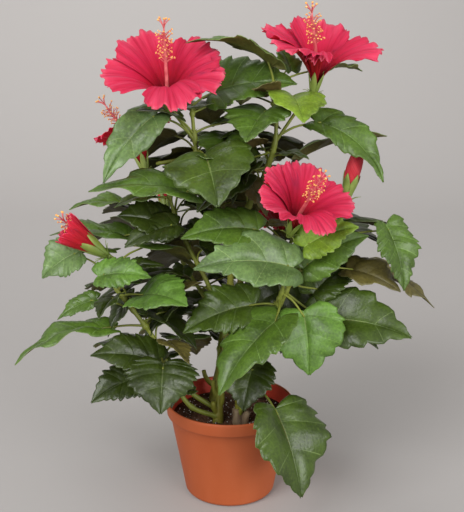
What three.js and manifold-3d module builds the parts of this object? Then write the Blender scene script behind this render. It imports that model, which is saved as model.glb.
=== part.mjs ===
// A potted hibiscus shrub, about half a metre tall: an artificial plant of fabric leaves and
// blooms on moulded stems, standing in a plain round nursery pot filled with a soil-like plug.
// Millimetres, +Z up. The origin is the centre of the pot's flat underside.
import * as THREE from 'three';
import { mergeVertices } from 'three/addons/utils/BufferGeometryUtils.js';
import Module from 'manifold-3d';

const wasm = await Module();
wasm.setup();

// ---- Driving sizes -------------------------------------------------------------------------

const DEGREE = Math.PI / 180;
const UP = new THREE.Vector3(0, 0, 1);
const CLEAR = 0.3; // gap between neighbouring solids

const POT = {
  height: 98, rimRadius: 65, bandHeight: 13.5, bandDepth: 3.8, footRadius: 45.5, corner: 5,
  wall: 2.4, lip: 1.2, sides: 30,
};
const SOIL = { top: 87, mound: 3, sides: 16 };

// The stems that rise out of the soil. A radius is given at the foot and at the top, and over a
// first share of its length each one flares towards the soil.
const FLARE = { swell: 2.2, share: 0.16 };
const STEMS = [
  { name: 'stem_main', foot: 5.2, top: 3.4, path: [
    [-12, -28, 74], [-11, -23, 100], [-4, -8, 150], [0, 6, 205], [2, 12, 262]] },
  { name: 'stem_right', foot: 4.2, top: 3, path: [
    [9, -28, 74], [10, -24, 105], [24, -20, 150], [42, -20, 190]] },
  { name: 'stem_back', foot: 4.6, top: 3, path: [
    [-18, 30, 74], [-12, 44, 110], [4, 55, 160], [12, 60, 215], [12, 60, 262]] },
];

// The shoots. Each runs along its own path: up to the share `enter` it is a bare bough, and from
// there on it is the stem of its mass of leaves.
// A leaf is [share of the path where its stalk springs, the stalk's turn, rise and length,
//            the blade's turn, pitch and length, width as a share of length, roll, droop].
// A bloom is [share of the path, the stalk's turn, rise and length, its axis's turn and rise,
//             mouth radius, kind, the turn and rise of its column].
// Turns are about +Z from +X. `fill` grows further leaves by rule: how many, the side that they
// face, how far round they spread, and their usual length.
const SHOOTS = [
  { name: 'upper_left', enter: 0.52,
    path: [[0, 10, 252], [-14, 7, 295], [-27, 3, 330], [-32, 0, 352], [-34, 0, 370], [-36, 2, 394]],
    leaves: [
      [0.60, -100, -32, 38, -170, 3, 98, 0.42, -25],
      [0.71, -70, 2, 26, -76, -38, 68, 1.2, 12],
      [0.80, -164, 2, 38, -150, -34, 70, 0.68, -32],
      [0.96, 20, 15, 25, -167, -12, 50, 0.5, -10],
      [1.00, 45, 24, 70, -12, -6, 64, 0.7, 25],
    ],
    blooms: [
      [0.78, -160, 43, 34, -93, 56, 56, 'open', -97, 80],
      [0.68, 160, -18, 58, 140, 68, 40, 'open', 112, 14],
    ],
    fill: [4, 90, 110, 70] },
  { name: 'upper_right', enter: 0.50,
    path: [[3, 14, 258], [20, 10, 300], [36, 3, 335], [43, 0, 358], [44, 2, 386], [40, 6, 414]],
    leaves: [
      [0.95, -100, 76, 27, -166, 14, 88, 0.6, 0, 55],
      [0.60, 27, -10, 32, 10, 13, 92, 0.5, -15],
      [0.70, 7, 19, 37, -18, -47, 92, 0.58, 25],
      [0.52, -165, -15, 24, -150, -32, 62, 0.85, -20],
      [0.62, 170, -25, 26, 150, 5, 56, 0.8, -30],
      [0.82, -168, 36, 11, -115, -28, 56, 1.15, 0],
      [0.89, -12, 30, 19, -83, -22, 58, 0.95, 0],
      [0.89, 150, 12, 35, 165, -5, 42, 0.6, 0],
      [1.00, 30, 30, 26, 125, 45, 32, 0.85, 0],
      [1.00, 11, 15, 54, 28, -2, 45, 0.6, 0],
    ],
    blooms: [[0.67, 5, 47, 57, -40, 80, 54, 'open', -112, 60]],
    fill: [2, 110, 70, 66] },
  { name: 'right', enter: 0.2,
    path: [[42, -19, 192], [50, -18, 205], [56, -19, 220], [66, -20, 238], [72, -14, 262]],
    leaves: [
      [0.85, 9, 20, 84, -51, -67, 68, 0.72, 0],
      [0.36, -8, -22, 39, -13, -14, 94, 0.7, 50],
      [0.50, 23, -28, 28, 33, 25, 60, 0.8, 20],
      [0.60, 32, -3, 82, -8, -26, 86, 0.62, 0],
      [0.68, 18, -2, 52, -26, -17, 58, 0.8, 16],
      [0.85, 50, -40, 24, 14, 33, 70, 0.65, 20],
      [0.85, -43, 65, 20, -19, 27, 55, 0.8, 15],
    ],
    blooms: [
      [0.40, -88, 74, 62, -62, 54, 45, 'open', -66, 44],
      [0.95, 30, 42, 71, 0, 76, 6.5, 'bud'],
    ],
    fill: [3, 75, 60, 70] },
  { name: 'front', enter: 0.2,
    path: [[41, -22, 184], [44, -32, 205], [50, -38, 225], [52, -40, 246], [46, -38, 262]],
    leaves: [
      [0.33, 168, -4, 21, -166, -18, 76, 0.72, -36],
      [0.42, -90, -38, 22, -143, -40, 95, 0.72, -5],
      [0.45, -58, -19, 44, -82, -50, 52, 1.12, 8],
      [0.84, -46, 0, 12, -163, 3, 98, 0.6, -48],
      [1.00, 159, 45, 28, -167, 1, 72, 0.5, -30],
    ],
    blooms: [],
    fill: [0] },
  { name: 'left', enter: 0.52,
    path: [[-11, -25, 96], [-40, -24, 116], [-64, -21, 148], [-77, -20, 174], [-101, -20, 208],
      [-113, -19, 226], [-110, -20, 250]],
    leaves: [
      [0.60, -172, -3, 36, -164, -18, 96, 0.42, -5],
      [0.70, 173, 16, 38, -173, -27, 50, 0.9, -35],
      [0.80, -20, 5, 20, -46, 4, 72, 0.8, 28],
      [0.88, 169, 33, 44, -171, -33, 46, 0.95, -45],
      [0.88, -130, 36, 28, -25, 0, 66, 0.75, 32],
      [0.90, 95, 44, 32, 170, -14, 58, 0.45, 0],
    ],
    blooms: [[1.00, -164, 32, 6, -164, 32, 13, 'half', -164, 52]],
    fill: [4, 95, 60, 66] },
  { name: 'left_high', enter: 0.55,
    path: [[-3, -4, 165], [-20, 4, 215], [-38, 10, 250], [-50, 11, 275], [-56, 9, 295], [-60, 6, 314]],
    leaves: [
      [0.75, 173, -13, 53, 176, 1, 82, 0.45, -10],
      [0.81, -84, -3, 24, -161, -20, 56, 0.75, -25],
      [0.80, -119, -30, 13, -158, 17, 56, 0.9, -40],
      [0.95, -179, -7, 44, -174, -6, 56, 0.55, -5],
      [1.00, -144, -14, 18, -162, -14, 40, 0.7, -10],
      [1.00, -20, 10, 18, -10, -10, 50, 0.7, 20],
    ],
    blooms: [],
    fill: [4, 120, 90, 72] },
  { name: 'low_left', enter: 0.6,
    path: [[-12, -27, 90], [-38, -30, 102], [-56, -28, 128], [-64, -29, 144], [-68, -33, 158]],
    leaves: [
      [0.70, -40, -10, 32, -165, -14, 30, 0.6, 0],
      [0.70, 153, -5, 28, -158, -20, 62, 0.75, -35],
      [0.92, -95, 10, 9, -162, 12, 70, 0.68, -34],
      [0.95, -80, 8, 24, -92, -50, 50, 1.3, 0],
    ],
    blooms: [],
    fill: [3, 130, 60, 66] },
  { name: 'low_front', enter: 0.45,
    path: [[9, -27, 92], [16, -38, 110], [26, -44, 121], [33, -42, 136]],
    leaves: [
      [0.80, -60, -27, 29, -56, -62, 86, 1.08, -8],
      [1.00, 125, 28, 20, -109, -52, 48, 1.1, 0],
    ],
    blooms: [],
    fill: [0] },
  { name: 'back_left', enter: 0.4,
    path: [[0, 52, 145], [-28, 75, 185], [-52, 92, 220], [-66, 100, 255]],
    leaves: [],
    blooms: [[0.90, 110, 40, 36, 110, 60, 6.5, 'bud']],
    fill: [8, 120, 180, 86] },
  { name: 'back_right', enter: 0.4,
    path: [[10, 58, 170], [38, 72, 205], [62, 85, 235], [76, 92, 265]],
    leaves: [],
    blooms: [[0.55, 80, 20, 40, 75, 45, 44, 'open', 75, 65]],
    fill: [8, 60, 180, 86] },
  { name: 'back_top', enter: 0.3,
    path: [[12, 60, 255], [10, 60, 300], [8, 58, 335], [4, 55, 362]],
    leaves: [],
    blooms: [],
    fill: [8, 90, 180, 82] },
  { name: 'back_low', enter: 0.4,
    path: [[-12, 46, 118], [-10, 70, 140], [-4, 92, 155], [0, 112, 172]],
    leaves: [],
    blooms: [],
    fill: [7, 90, 150, 82] },
  { name: 'low_right', enter: 0.5,
    path: [[0, 50, 130], [35, 48, 148], [66, 44, 165], [88, 42, 186]],
    leaves: [],
    blooms: [],
    fill: [6, 60, 100, 72] },
];

const BOUGH = { start: 2.6, enter: 2.2, tip: 1.6, sides: 5, steps: 4 };
const STALK = { radii: [1.5, 1.2, 0.9], sides: 3, root: 6, bow: 0.06 };
const BLOOM_STALK = { radii: [1.6, 1.7, 2], sides: 4 };
const LEAF = {
  thick: 1.2, width: 0.75, fold: 0.22, droop: 35, lobe: 0.09, lobeShare: 0.35,
  foot: 0.05, swell: 0.62, round: 0.85, tip: 0.03,
  stations: [0, 0.12, 0.36, 0.7, 1], plainStations: [0, 0.28, 0.68, 1],
};
// Changes of pitch and of turn, in degrees, that a leaf tries in order to stand clear.
const NUDGES = [
  [0, 0], [8, 0], [-8, 0], [0, 12], [0, -12], [16, 6], [-16, -6], [10, 20], [-10, -20],
  [26, -12], [-26, 12], [0, 32], [0, -32], [38, 0], [-38, 0], [20, 45], [-20, -45],
];
const SPACE = 165; // how far a leaf may reach from the middle of its own mass's stem

const BLOOM = {
  tube: 27, tubeRadius: 6, wall: 1.2, rise: 19, notch: 0.34, petals: 5, sides: 15,
  column: 66, columnRadius: 1.5, anthers: 4, calyx: 17, calyxFoot: 3.2, calyxMouth: 7.2,
};
const BUD = { length: 46, foot: 2, calyx: 24 };

const COLOURS = {
  pot: 0xa8583a, soil: 0x2c1e17, stem: 0x6f7a3a, bough: 0x6f7a3a, foliage: 0x4f8a34,
};

// ---- Helpers -------------------------------------------------------------------------------

// The direction with the given turn about +Z and rise above level, both in degrees.
function towards(turn, rise) {
  const level = Math.cos(rise * DEGREE);
  return new THREE.Vector3(
    level * Math.cos(turn * DEGREE), level * Math.sin(turn * DEGREE), Math.sin(rise * DEGREE));
}

function through(points) {
  return new THREE.CatmullRomCurve3(points.map((p) => new THREE.Vector3(...p)));
}

// Moves every vertex of a geometry by a function.
function bend(geometry, place) {
  const position = geometry.attributes.position;
  const point = new THREE.Vector3();
  for (let i = 0; i < position.count; i += 1) {
    place(point.fromBufferAttribute(position, i));
    position.setXYZ(i, point.x, point.y, point.z);
  }
  return geometry;
}

function solid(geometry) {
  geometry.deleteAttribute('normal');
  geometry.deleteAttribute('uv');
  const merged = mergeVertices(geometry);
  return new wasm.Manifold(new wasm.Mesh({
    numProp: 3,
    vertProperties: Float32Array.from(merged.attributes.position.array),
    triVerts: Uint32Array.from(merged.index.array),
  }));
}

function geometryOf(shape) {
  const mesh = shape.getMesh();
  const geometry = new THREE.BufferGeometry();
  geometry.setAttribute('position', new THREE.BufferAttribute(mesh.vertProperties, 3));
  geometry.setIndex(new THREE.BufferAttribute(mesh.triVerts, 1));
  geometry.computeVertexNormals();
  return geometry;
}

// A direction that isn't along a rod, to set its section's sides by.
function crosswise(ahead) {
  return Math.abs(ahead.z) < 0.8 ? UP : new THREE.Vector3(1, 0, 0);
}

// A capped rod along part of a curve, its radius a function of the share of its length.
function limb(curve, start, end, radiusAt, sides, steps) {
  const across = crosswise(curve.getPointAt(end).sub(curve.getPointAt(start)).normalize());
  return solid(bend(new THREE.CylinderGeometry(1, 1, 1, sides, steps), (p) => {
    const share = p.y + 0.5;
    const at = start + (end - start) * share;
    const ahead = curve.getTangentAt(at);
    const side = new THREE.Vector3().crossVectors(ahead, across).normalize();
    const back = new THREE.Vector3().crossVectors(side, ahead);
    const radius = radiusAt(share);
    side.multiplyScalar(p.x * radius);
    back.multiplyScalar(p.z * radius);
    p.copy(curve.getPointAt(at)).add(side).add(back);
  }));
}

// A capped rod with a ring at each of a few points, each ring with its own radius.
function rod(points, radii, sides) {
  const last = points.length - 1;
  return solid(bend(new THREE.CylinderGeometry(1, 1, 1, sides, last), (p) => {
    const ring = Math.round((p.y + 0.5) * last);
    const ahead = points[Math.min(ring + 1, last)].clone().sub(points[Math.max(ring - 1, 0)]);
    ahead.normalize();
    const side = new THREE.Vector3().crossVectors(ahead, crosswise(ahead)).normalize();
    const back = new THREE.Vector3().crossVectors(side, ahead);
    side.multiplyScalar(p.x * radii[ring]);
    back.multiplyScalar(p.z * radii[ring]);
    p.copy(points[ring]).add(side).add(back);
  }));
}

const taper = (from, to) => (share) => from + (to - from) * share;

// A small repeatable source of numbers between 0 and 1.
function dice(seed) {
  let state = seed;
  return () => {
    state = (state * 16807) % 2147483647;
    return state / 2147483647;
  };
}

// ---- Leaves --------------------------------------------------------------------------------

// Half the blade's width as a share of its greatest: broad and heart-shaped near the stalk,
// drawn out to a fine tip.
function outline(along) {
  const swollen = (LEAF.foot + (1 - LEAF.foot) * along) ** LEAF.swell;
  return Math.max(LEAF.tip, Math.max(0, Math.sin(Math.PI * swollen)) ** LEAF.round);
}

// A point of a blade: across runs -1 to 1 from edge to edge, along runs 0 to 1 from base to tip,
// and lift stands off the blade. The blade bows down evenly and is folded along its midrib.
function bladePoint(leaf, across, along, lift) {
  const bow = leaf.droop * DEGREE;
  const first = leaf.pitch * DEGREE + bow / 2;
  const slope = first - bow * along;
  const run = (Math.sin(first) - Math.sin(slope)) / bow;
  const climb = (Math.cos(slope) - Math.cos(first)) / bow;
  const heading = towards(leaf.turn, 0);
  const ahead = towards(leaf.turn, slope / DEGREE);
  const level = new THREE.Vector3().crossVectors(UP, heading);
  const side = level.clone().applyAxisAngle(ahead, leaf.roll * DEGREE);
  const normal = new THREE.Vector3().crossVectors(ahead, side);
  const reach = Math.abs(across) * outline(along) * leaf.width * leaf.blade / 2;
  const pull = LEAF.lobe * leaf.blade * Math.max(0, 1 - along / LEAF.lobeShare) ** 2;
  return leaf.base.clone()
    .addScaledVector(heading, run * leaf.blade)
    .addScaledVector(UP, climb * leaf.blade)
    .addScaledVector(side, Math.sign(across) * reach)
    .addScaledVector(normal, LEAF.fold * reach + lift)
    .addScaledVector(ahead, -pull * Math.abs(across));
}

function blade(leaf, swell = 0) {
  const stations = leaf.plain ? LEAF.plainStations : LEAF.stations;
  const steps = stations.length - 1;
  return solid(bend(new THREE.BoxGeometry(2, steps, 1, 2, steps, 1), (p) => {
    const along = stations[Math.round(p.y + steps / 2)];
    p.copy(bladePoint(leaf, -p.x * (1 + swell / 20), along, p.z * (LEAF.thick + 2 * swell)));
  }));
}

// The stalk springs from inside the stem, bows up a little and runs on into what it carries.
function stalkPoints(item, ahead) {
  const middle = item.node.clone().addScaledVector(item.out, item.stalk * 0.5);
  middle.addScaledVector(UP, item.stalk * STALK.bow);
  return [item.node, middle, item.base.clone().addScaledVector(ahead, STALK.root)];
}

function leafStalk(leaf, swell = 0) {
  const ahead = towards(leaf.turn, leaf.pitch + leaf.droop / 2);
  const radii = STALK.radii.map((radius) => radius + swell);
  return rod(stalkPoints(leaf, ahead), radii, STALK.sides);
}

function leafAt(curve, row, plain) {
  const [share, stalkTurn, rise, stalk, turn, pitch, length] = row;
  const [width = LEAF.width, roll = 0, droop = LEAF.droop] = row.slice(7);
  const node = curve.getPointAt(share);
  const out = towards(stalkTurn, rise);
  const base = node.clone().addScaledVector(out, stalk);
  return { node, out, stalk, base, turn, pitch, blade: length, width, roll, droop, plain };
}

// The leaves that a shoot grows by rule, at golden steps round the side that it faces.
function fillRows(shoot, random) {
  const [count, facing, spread, length] = shoot.fill;
  const rows = [];
  for (let k = 0; k < count; k += 1) {
    const share = shoot.enter + (1 - shoot.enter) * (k + 0.6) / count;
    const turn = facing + spread * (2 * ((k * 0.382 + 0.3) % 1) - 1);
    const rise = 25 + 30 * (random() - 0.5);
    const stalk = 22 + 22 * random();
    const bladeTurn = turn + 30 * (random() - 0.5);
    const pitch = -18 + 36 * (random() - 0.5);
    const long = length * (0.85 + 0.35 * random());
    const roll = 30 * (random() - 0.5);
    rows.push([share, turn, rise, stalk, bladeTurn, pitch, long, LEAF.width, roll]);
  }
  return rows;
}

// ---- Blooms --------------------------------------------------------------------------------

// Places a point given as (across, along, across) round an axis that starts at a base.
function onAxis(base, axis) {
  const side = new THREE.Vector3().crossVectors(axis, UP).normalize();
  const back = new THREE.Vector3().crossVectors(side, axis);
  return (p) => {
    const { x, y, z } = p;
    p.copy(base).addScaledVector(side, x).addScaledVector(axis, y).addScaledVector(back, z);
  };
}

// The corolla: a tube that flares into five lobes, turned as one thin-walled cup.
function corolla(bloom) {
  const { tube, tubeRadius, wall, petals, sides, columnRadius } = BLOOM;
  const open = bloom.kind === 'open';
  const length = BLOOM.column * (open ? 1 : 0.6);
  const mouth = bloom.mouth;
  const rise = BLOOM.rise * (open ? 1 : 1.3);
  const flare = [[0.55, 0.72], [1, 1]];
  const outer = flare.map(([r, h]) => new THREE.Vector2(mouth * r, tube + rise * h));
  const inner = outer.map((p) => new THREE.Vector2(p.x - wall * 0.6, p.y + wall)).reverse();
  const calyx = open ? BLOOM.calyx : BUD.calyx;
  const profile = [
    new THREE.Vector2(0, -BLOOM.calyxFoot),
    new THREE.Vector2(BLOOM.calyxMouth, calyx), new THREE.Vector2(tubeRadius, calyx),
    ...outer, ...inner, new THREE.Vector2(columnRadius, tube * 0.8),
    new THREE.Vector2(columnRadius, tube + length * 0.45),
    new THREE.Vector2(BLOOM.anthers, tube + length * 0.5),
    new THREE.Vector2(BLOOM.anthers, tube + length * 0.9), new THREE.Vector2(0, tube + length),
  ];
  const place = onAxis(bloom.base, bloom.axis);
  const lean = bloom.column.clone().sub(bloom.axis);
  return solid(bend(new THREE.LatheGeometry(profile, sides), (p) => {
    const radius = Math.hypot(p.x, p.z);
    const lobe = Math.abs(Math.sin(petals / 2 * Math.atan2(p.x, p.z)));
    const spread = Math.max(0, (radius - tubeRadius) / mouth);
    const shrink = 1 - BLOOM.notch * spread * (1 - lobe) ** 1.5;
    p.set(p.x * shrink, p.y, p.z * shrink);
    const above = radius < BLOOM.anthers * 1.1 ? Math.max(0, p.y - tube) : 0;
    place(p);
    p.addScaledVector(lean, above);
  }));
}

// A closed bud is a slim spindle of furled petals.
function bud(bloom) {
  const { base, axis, mouth } = bloom;
  const tip = base.clone().addScaledVector(axis, BUD.length);
  const line = new THREE.LineCurve3(base.clone().addScaledVector(axis, BUD.foot), tip);
  const radius = (share) => mouth * (0.35 + 0.65 * Math.sin(Math.PI * (0.15 + 0.75 * share)));
  return limb(line, 0, 1, radius, 8, 6);
}

function bloomStalk(bloom) {
  return rod(stalkPoints(bloom, bloom.axis), BLOOM_STALK.radii, BLOOM_STALK.sides);
}

function bloomAt(curve, row) {
  const [share, stalkTurn, rise, stalk, turn, axisRise, mouth, kind] = row;
  const [columnTurn = turn, columnRise = axisRise] = row.slice(8);
  const node = curve.getPointAt(share);
  const out = towards(stalkTurn, rise);
  const base = node.clone().addScaledVector(out, stalk);
  const axis = towards(turn, axisRise);
  return { node, out, stalk, base, axis, column: towards(columnTurn, columnRise), mouth, kind };
}

function bloomSolids(bloom) {
  if (bloom.kind === 'bud') return [bud(bloom), bloomStalk(bloom)];
  return [corolla(bloom), bloomStalk(bloom)];
}

// ---- Pot, soil and stems -------------------------------------------------------------------

// The pot: a plain tapering wall with a deeper band round the rim, turned as one piece.
function potSolid() {
  const { height, rimRadius, bandHeight, bandDepth, footRadius, corner, wall, lip, sides } = POT;
  const underBand = rimRadius - bandDepth;
  const slope = (underBand - footRadius) / (height - bandHeight);
  const outer = new THREE.Path();
  outer.moveTo(0, 0);
  outer.lineTo(footRadius - corner, 0);
  outer.quadraticCurveTo(footRadius, 0, footRadius + slope * corner, corner);
  outer.lineTo(underBand, height - bandHeight);
  outer.lineTo(rimRadius - lip, height - bandHeight + lip);
  outer.lineTo(rimRadius, height - lip);
  outer.lineTo(rimRadius - lip, height);
  outer.lineTo(rimRadius - wall, height);
  outer.lineTo(rimRadius - wall - lip / 3, height - bandHeight + wall);
  outer.lineTo(underBand - wall, height - bandHeight);
  outer.lineTo(footRadius - wall, corner + wall);
  outer.lineTo(0, corner + wall - 1);
  return solid(new THREE.LatheGeometry(outer.getPoints(3), sides));
}

// The inner radius of the pot at a height above its floor, below the band.
function insideAt(z) {
  const { height, rimRadius, bandHeight, bandDepth, footRadius, corner, wall } = POT;
  const low = corner + wall;
  const high = height - bandHeight;
  const share = (z - low) / (high - low);
  return footRadius - wall + (rimRadius - bandDepth - footRadius) * Math.min(1, share);
}

function soilSolid() {
  const floor = POT.corner + POT.wall + CLEAR;
  const slack = CLEAR + 0.4;
  const shoulder = POT.height - POT.bandHeight;
  const profile = [
    [0, floor], [insideAt(floor) - slack - 1, floor], [insideAt(shoulder) - slack, shoulder],
    [insideAt(shoulder) - slack, SOIL.top - SOIL.mound], [insideAt(shoulder) * 0.6, SOIL.top - 1],
    [0, SOIL.top],
  ].map(([r, z]) => new THREE.Vector2(r, z));
  return solid(new THREE.LatheGeometry(profile, SOIL.sides));
}

// A lathe turns about +Y; the pot and the soil stand on +Z.
function upright(shape) {
  return shape.transform(new THREE.Matrix4().makeRotationX(Math.PI / 2).elements);
}

function stemSolid(stem, swell = 0) {
  const radius = (share) => {
    const flare = FLARE.swell * Math.max(0, 1 - share / FLARE.share);
    return stem.foot + (stem.top - stem.foot) * share + flare + swell;
  };
  return limb(through(stem.path), 0, 1, radius, 7, 7);
}

// ---- Assembly ------------------------------------------------------------------------------

const nodes = new Map(); // name to solid, as placed

function union(shapes) {
  return shapes.reduce((whole, shape) => whole.add(shape));
}

function meets(one, other) {
  const a = one.boundingBox();
  const b = other.boundingBox();
  for (let i = 0; i < 3; i += 1) {
    if (a.max[i] < b.min[i] || b.max[i] < a.min[i]) return false;
  }
  return one.intersect(other).volume() > 1e-6;
}

const stems = new Map(STEMS.map((stem) => [stem.name, stemSolid(stem)]));
const room = STEMS.map((stem) => stemSolid(stem, CLEAR));
nodes.set('pot', upright(potSolid()));
nodes.set('soil', room.reduce((plug, hole) => plug.subtract(hole), upright(soilSolid())));
stems.forEach((shape, name) => nodes.set(name, shape));

// Each bough leaves its stem with a small gap, and stops short of its mass by the same gap.
for (const shoot of SHOOTS) {
  shoot.curve = through(shoot.path);
  const stop = shoot.enter - CLEAR / shoot.curve.getLength();
  const radius = taper(BOUGH.start, BOUGH.enter);
  const whole = limb(shoot.curve, 0, stop, radius, BOUGH.sides, BOUGH.steps);
  nodes.set(`bough_${shoot.name}`, room.reduce((rest, hole) => rest.subtract(hole), whole));
}

// The mass's own stem and its blooms come first, and the leaves are fitted in round them.
for (const shoot of SHOOTS) {
  const radius = taper(BOUGH.enter, BOUGH.tip);
  shoot.parts = [limb(shoot.curve, shoot.enter, 1, radius, BOUGH.sides, BOUGH.steps)];
  for (const row of shoot.blooms) shoot.parts.push(...bloomSolids(bloomAt(shoot.curve, row)));
}

// A leaf is tried as it stands and then nudged. One that touches a limb, the pot or another mass,
// or whose blade would cut through another blade, is left out.
const blades = [];

function grow(shoot, row, plain) {
  const others = SHOOTS.filter((other) => other !== shoot).flatMap((other) => other.parts);
  const blocked = [...nodes.values(), ...others];
  const middle = shoot.curve.getPointAt((shoot.enter + 1) / 2);
  for (const [lift, swing] of NUDGES) {
    const tried = row.slice();
    tried[1] += swing;
    tried[2] += lift / 2;
    tried[4] += swing;
    tried[5] += lift;
    const leaf = leafAt(shoot.curve, tried, plain);
    const near = bladePoint(leaf, 0, 1, 0).distanceTo(middle) < SPACE;
    const wide = blade(leaf, CLEAR);
    const long = leafStalk(leaf, CLEAR);
    const clear = !blocked.some((other) => meets(wide, other) || meets(long, other));
    if (near && clear && !blades.some((other) => meets(wide, other))) {
      const flat = blade(leaf);
      blades.push(flat);
      shoot.parts.push(flat, leafStalk(leaf));
      return;
    }
  }
}

for (const shoot of SHOOTS) {
  for (const row of shoot.leaves) grow(shoot, row, false);
}
SHOOTS.forEach((shoot, index) => {
  for (const row of fillRows(shoot, dice(11 + 7 * index))) grow(shoot, row, true);
});
for (const shoot of SHOOTS) nodes.set(`foliage_${shoot.name}`, union(shoot.parts));

const plant = new THREE.Group();
for (const [name, shape] of nodes) {
  const color = COLOURS[name.split('_')[0]];
  const material = new THREE.MeshStandardMaterial({ color, roughness: 0.6 });
  const mesh = new THREE.Mesh(geometryOf(shape), material);
  mesh.name = name;
  plant.add(mesh);
}

export default plant;
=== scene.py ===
import math

import bpy
import numpy as np
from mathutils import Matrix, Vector


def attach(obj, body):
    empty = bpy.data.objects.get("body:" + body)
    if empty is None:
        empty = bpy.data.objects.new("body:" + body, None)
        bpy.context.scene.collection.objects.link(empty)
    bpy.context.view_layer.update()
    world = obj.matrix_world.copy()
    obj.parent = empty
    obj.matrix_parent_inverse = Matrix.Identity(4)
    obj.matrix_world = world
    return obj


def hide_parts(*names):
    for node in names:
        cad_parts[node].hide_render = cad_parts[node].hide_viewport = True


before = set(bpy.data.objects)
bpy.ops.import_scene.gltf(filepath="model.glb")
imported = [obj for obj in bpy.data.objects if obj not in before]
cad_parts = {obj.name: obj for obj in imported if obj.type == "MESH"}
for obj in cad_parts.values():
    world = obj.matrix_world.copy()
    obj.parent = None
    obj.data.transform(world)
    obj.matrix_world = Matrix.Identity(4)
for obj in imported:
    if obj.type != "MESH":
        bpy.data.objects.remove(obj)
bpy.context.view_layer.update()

MM = 0.001
UP = Vector((0, 0, 1))

POT_HEIGHT, RIM_RADIUS, BAND_HEIGHT, BAND_DEPTH = 98, 65, 13.5, 3.8
FOOT_RADIUS, FOOT_CORNER, POT_WALL, RIM_LIP = 45.5, 5, 2.4, 1.2
CORNER_STEPS, SIDE_STEPS, POT_SIDES = 6, 8, 128
HUB = 4  # radius of the flat middle of the foot, where the turned outline starts and ends
INSIDE_DEPTH = 20  # how far below the rim the inside of the wall is painted a brighter red, a painted glow of light shining through the thin plastic


def make_piece(name, points, faces, materials, slot, nodes=(), face_materials=None):
    """A mesh in metres from points in millimetres, riding on the one body."""
    mesh = bpy.data.meshes.new(name)
    mesh.from_pydata([tuple(MM * x for x in p) for p in points], [], faces)
    for material in materials:
        mesh.materials.append(material)
    if face_materials is not None:
        mesh.polygons.foreach_set("material_index", face_materials)
    mesh.polygons.foreach_set("use_smooth", [True] * len(mesh.polygons))
    mesh.update()
    piece = bpy.data.objects.new(name, mesh)
    bpy.context.scene.collection.objects.link(piece)
    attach(piece, "root")
    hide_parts(*nodes)
    return piece


def turned(profile, sides):
    """Points and faces of a closed profile of (radius, height) turned about +Z."""
    points = []
    for radius, height in profile:
        for k in range(sides):
            angle = 2 * math.pi * k / sides
            points.append((radius * math.cos(angle), radius * math.sin(angle), height))
    faces = []
    rings = len(profile)
    for ring in range(rings - 1):
        for k in range(sides):
            a, b = ring * sides + k, ring * sides + (k + 1) % sides
            faces.append((a, b, b + sides, a + sides))
    faces.append(tuple(reversed(range(sides))))
    faces.append(tuple((rings - 1) * sides + k for k in range(sides)))
    return points, faces


class Shader:
    """A node material, with short ways to add and join its nodes."""

    def __init__(self, name, colour, roughness):
        self.material = bpy.data.materials.new(name)
        self.material.use_nodes = True
        self.tree = self.material.node_tree
        self.skin = self.tree.nodes["Principled BSDF"]
        self.skin.inputs["Base Color"].default_value = (*colour, 1)
        self.skin.inputs["Roughness"].default_value = roughness
        self.place = self.tree.nodes.new("ShaderNodeTexCoord").outputs["Object"]

    def join(self, source, target):
        """Links one node's output to another's input."""
        self.tree.links.new(source, target)

    def noise(self, scale, detail=3, stretch=(1, 1, 1), place=None):
        """Noise from 0 to 1, its scale in features a metre."""
        mapping = self.tree.nodes.new("ShaderNodeMapping")
        mapping.inputs["Scale"].default_value = stretch
        self.join(place or self.place, mapping.inputs["Vector"])
        noise = self.tree.nodes.new("ShaderNodeTexNoise")
        noise.inputs["Scale"].default_value = scale
        noise.inputs["Detail"].default_value = detail
        self.join(mapping.outputs["Vector"], noise.inputs["Vector"])
        return noise.outputs["Fac"]

    def ramp(self, source, stops):
        """A blend between colours set at places from 0 to 1."""
        ramp = self.tree.nodes.new("ShaderNodeValToRGB")
        elements = ramp.color_ramp.elements
        while len(elements) < len(stops):
            elements.new(0.5)
        for element, (place, colour) in zip(elements, stops):
            element.position = place
            element.color = (*colour, 1)
        self.join(source, ramp.inputs["Fac"])
        return ramp.outputs["Color"]

    def mix(self, share, first, second, blend="MIX"):
        """One colour laid over another, each of them a socket or a value, as the share is."""
        mix = self.tree.nodes.new("ShaderNodeMix")
        mix.data_type = "RGBA"
        mix.blend_type = blend
        for value, socket in ((share, 0), (first, 6), (second, 7)):
            if isinstance(value, (int, float)):
                mix.inputs[socket].default_value = value
            elif isinstance(value, tuple):
                mix.inputs[socket].default_value = (*value, 1)
            else:
                self.join(value, mix.inputs[socket])
        return mix.outputs[2]

    def colour(self, source):
        """Gives the surface its colour."""
        self.join(source, self.skin.inputs["Base Color"])

    def rough(self, source, low, high):
        """Roughness from low to high, as the source goes from 0 to 1."""
        span = self.tree.nodes.new("ShaderNodeMapRange")
        span.inputs["To Min"].default_value = low
        span.inputs["To Max"].default_value = high
        self.join(source, span.inputs["Value"])
        self.join(span.outputs["Result"], self.skin.inputs["Roughness"])

    def shine(self, level):
        """How strongly the surface mirrors: 0.5 is the usual."""
        self.skin.inputs["Specular IOR Level"].default_value = level

    def bump(self, source, height, strength=1.0):
        """Adds relief of a height in metres to the relief that is already there."""
        bump = self.tree.nodes.new("ShaderNodeBump")
        bump.inputs["Distance"].default_value = height
        bump.inputs["Strength"].default_value = strength
        self.join(source, bump.inputs["Height"])
        normal = self.skin.inputs["Normal"]
        if normal.is_linked:
            self.join(normal.links[0].from_socket, bump.inputs["Normal"])
        self.join(bump.outputs["Normal"], normal)


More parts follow.
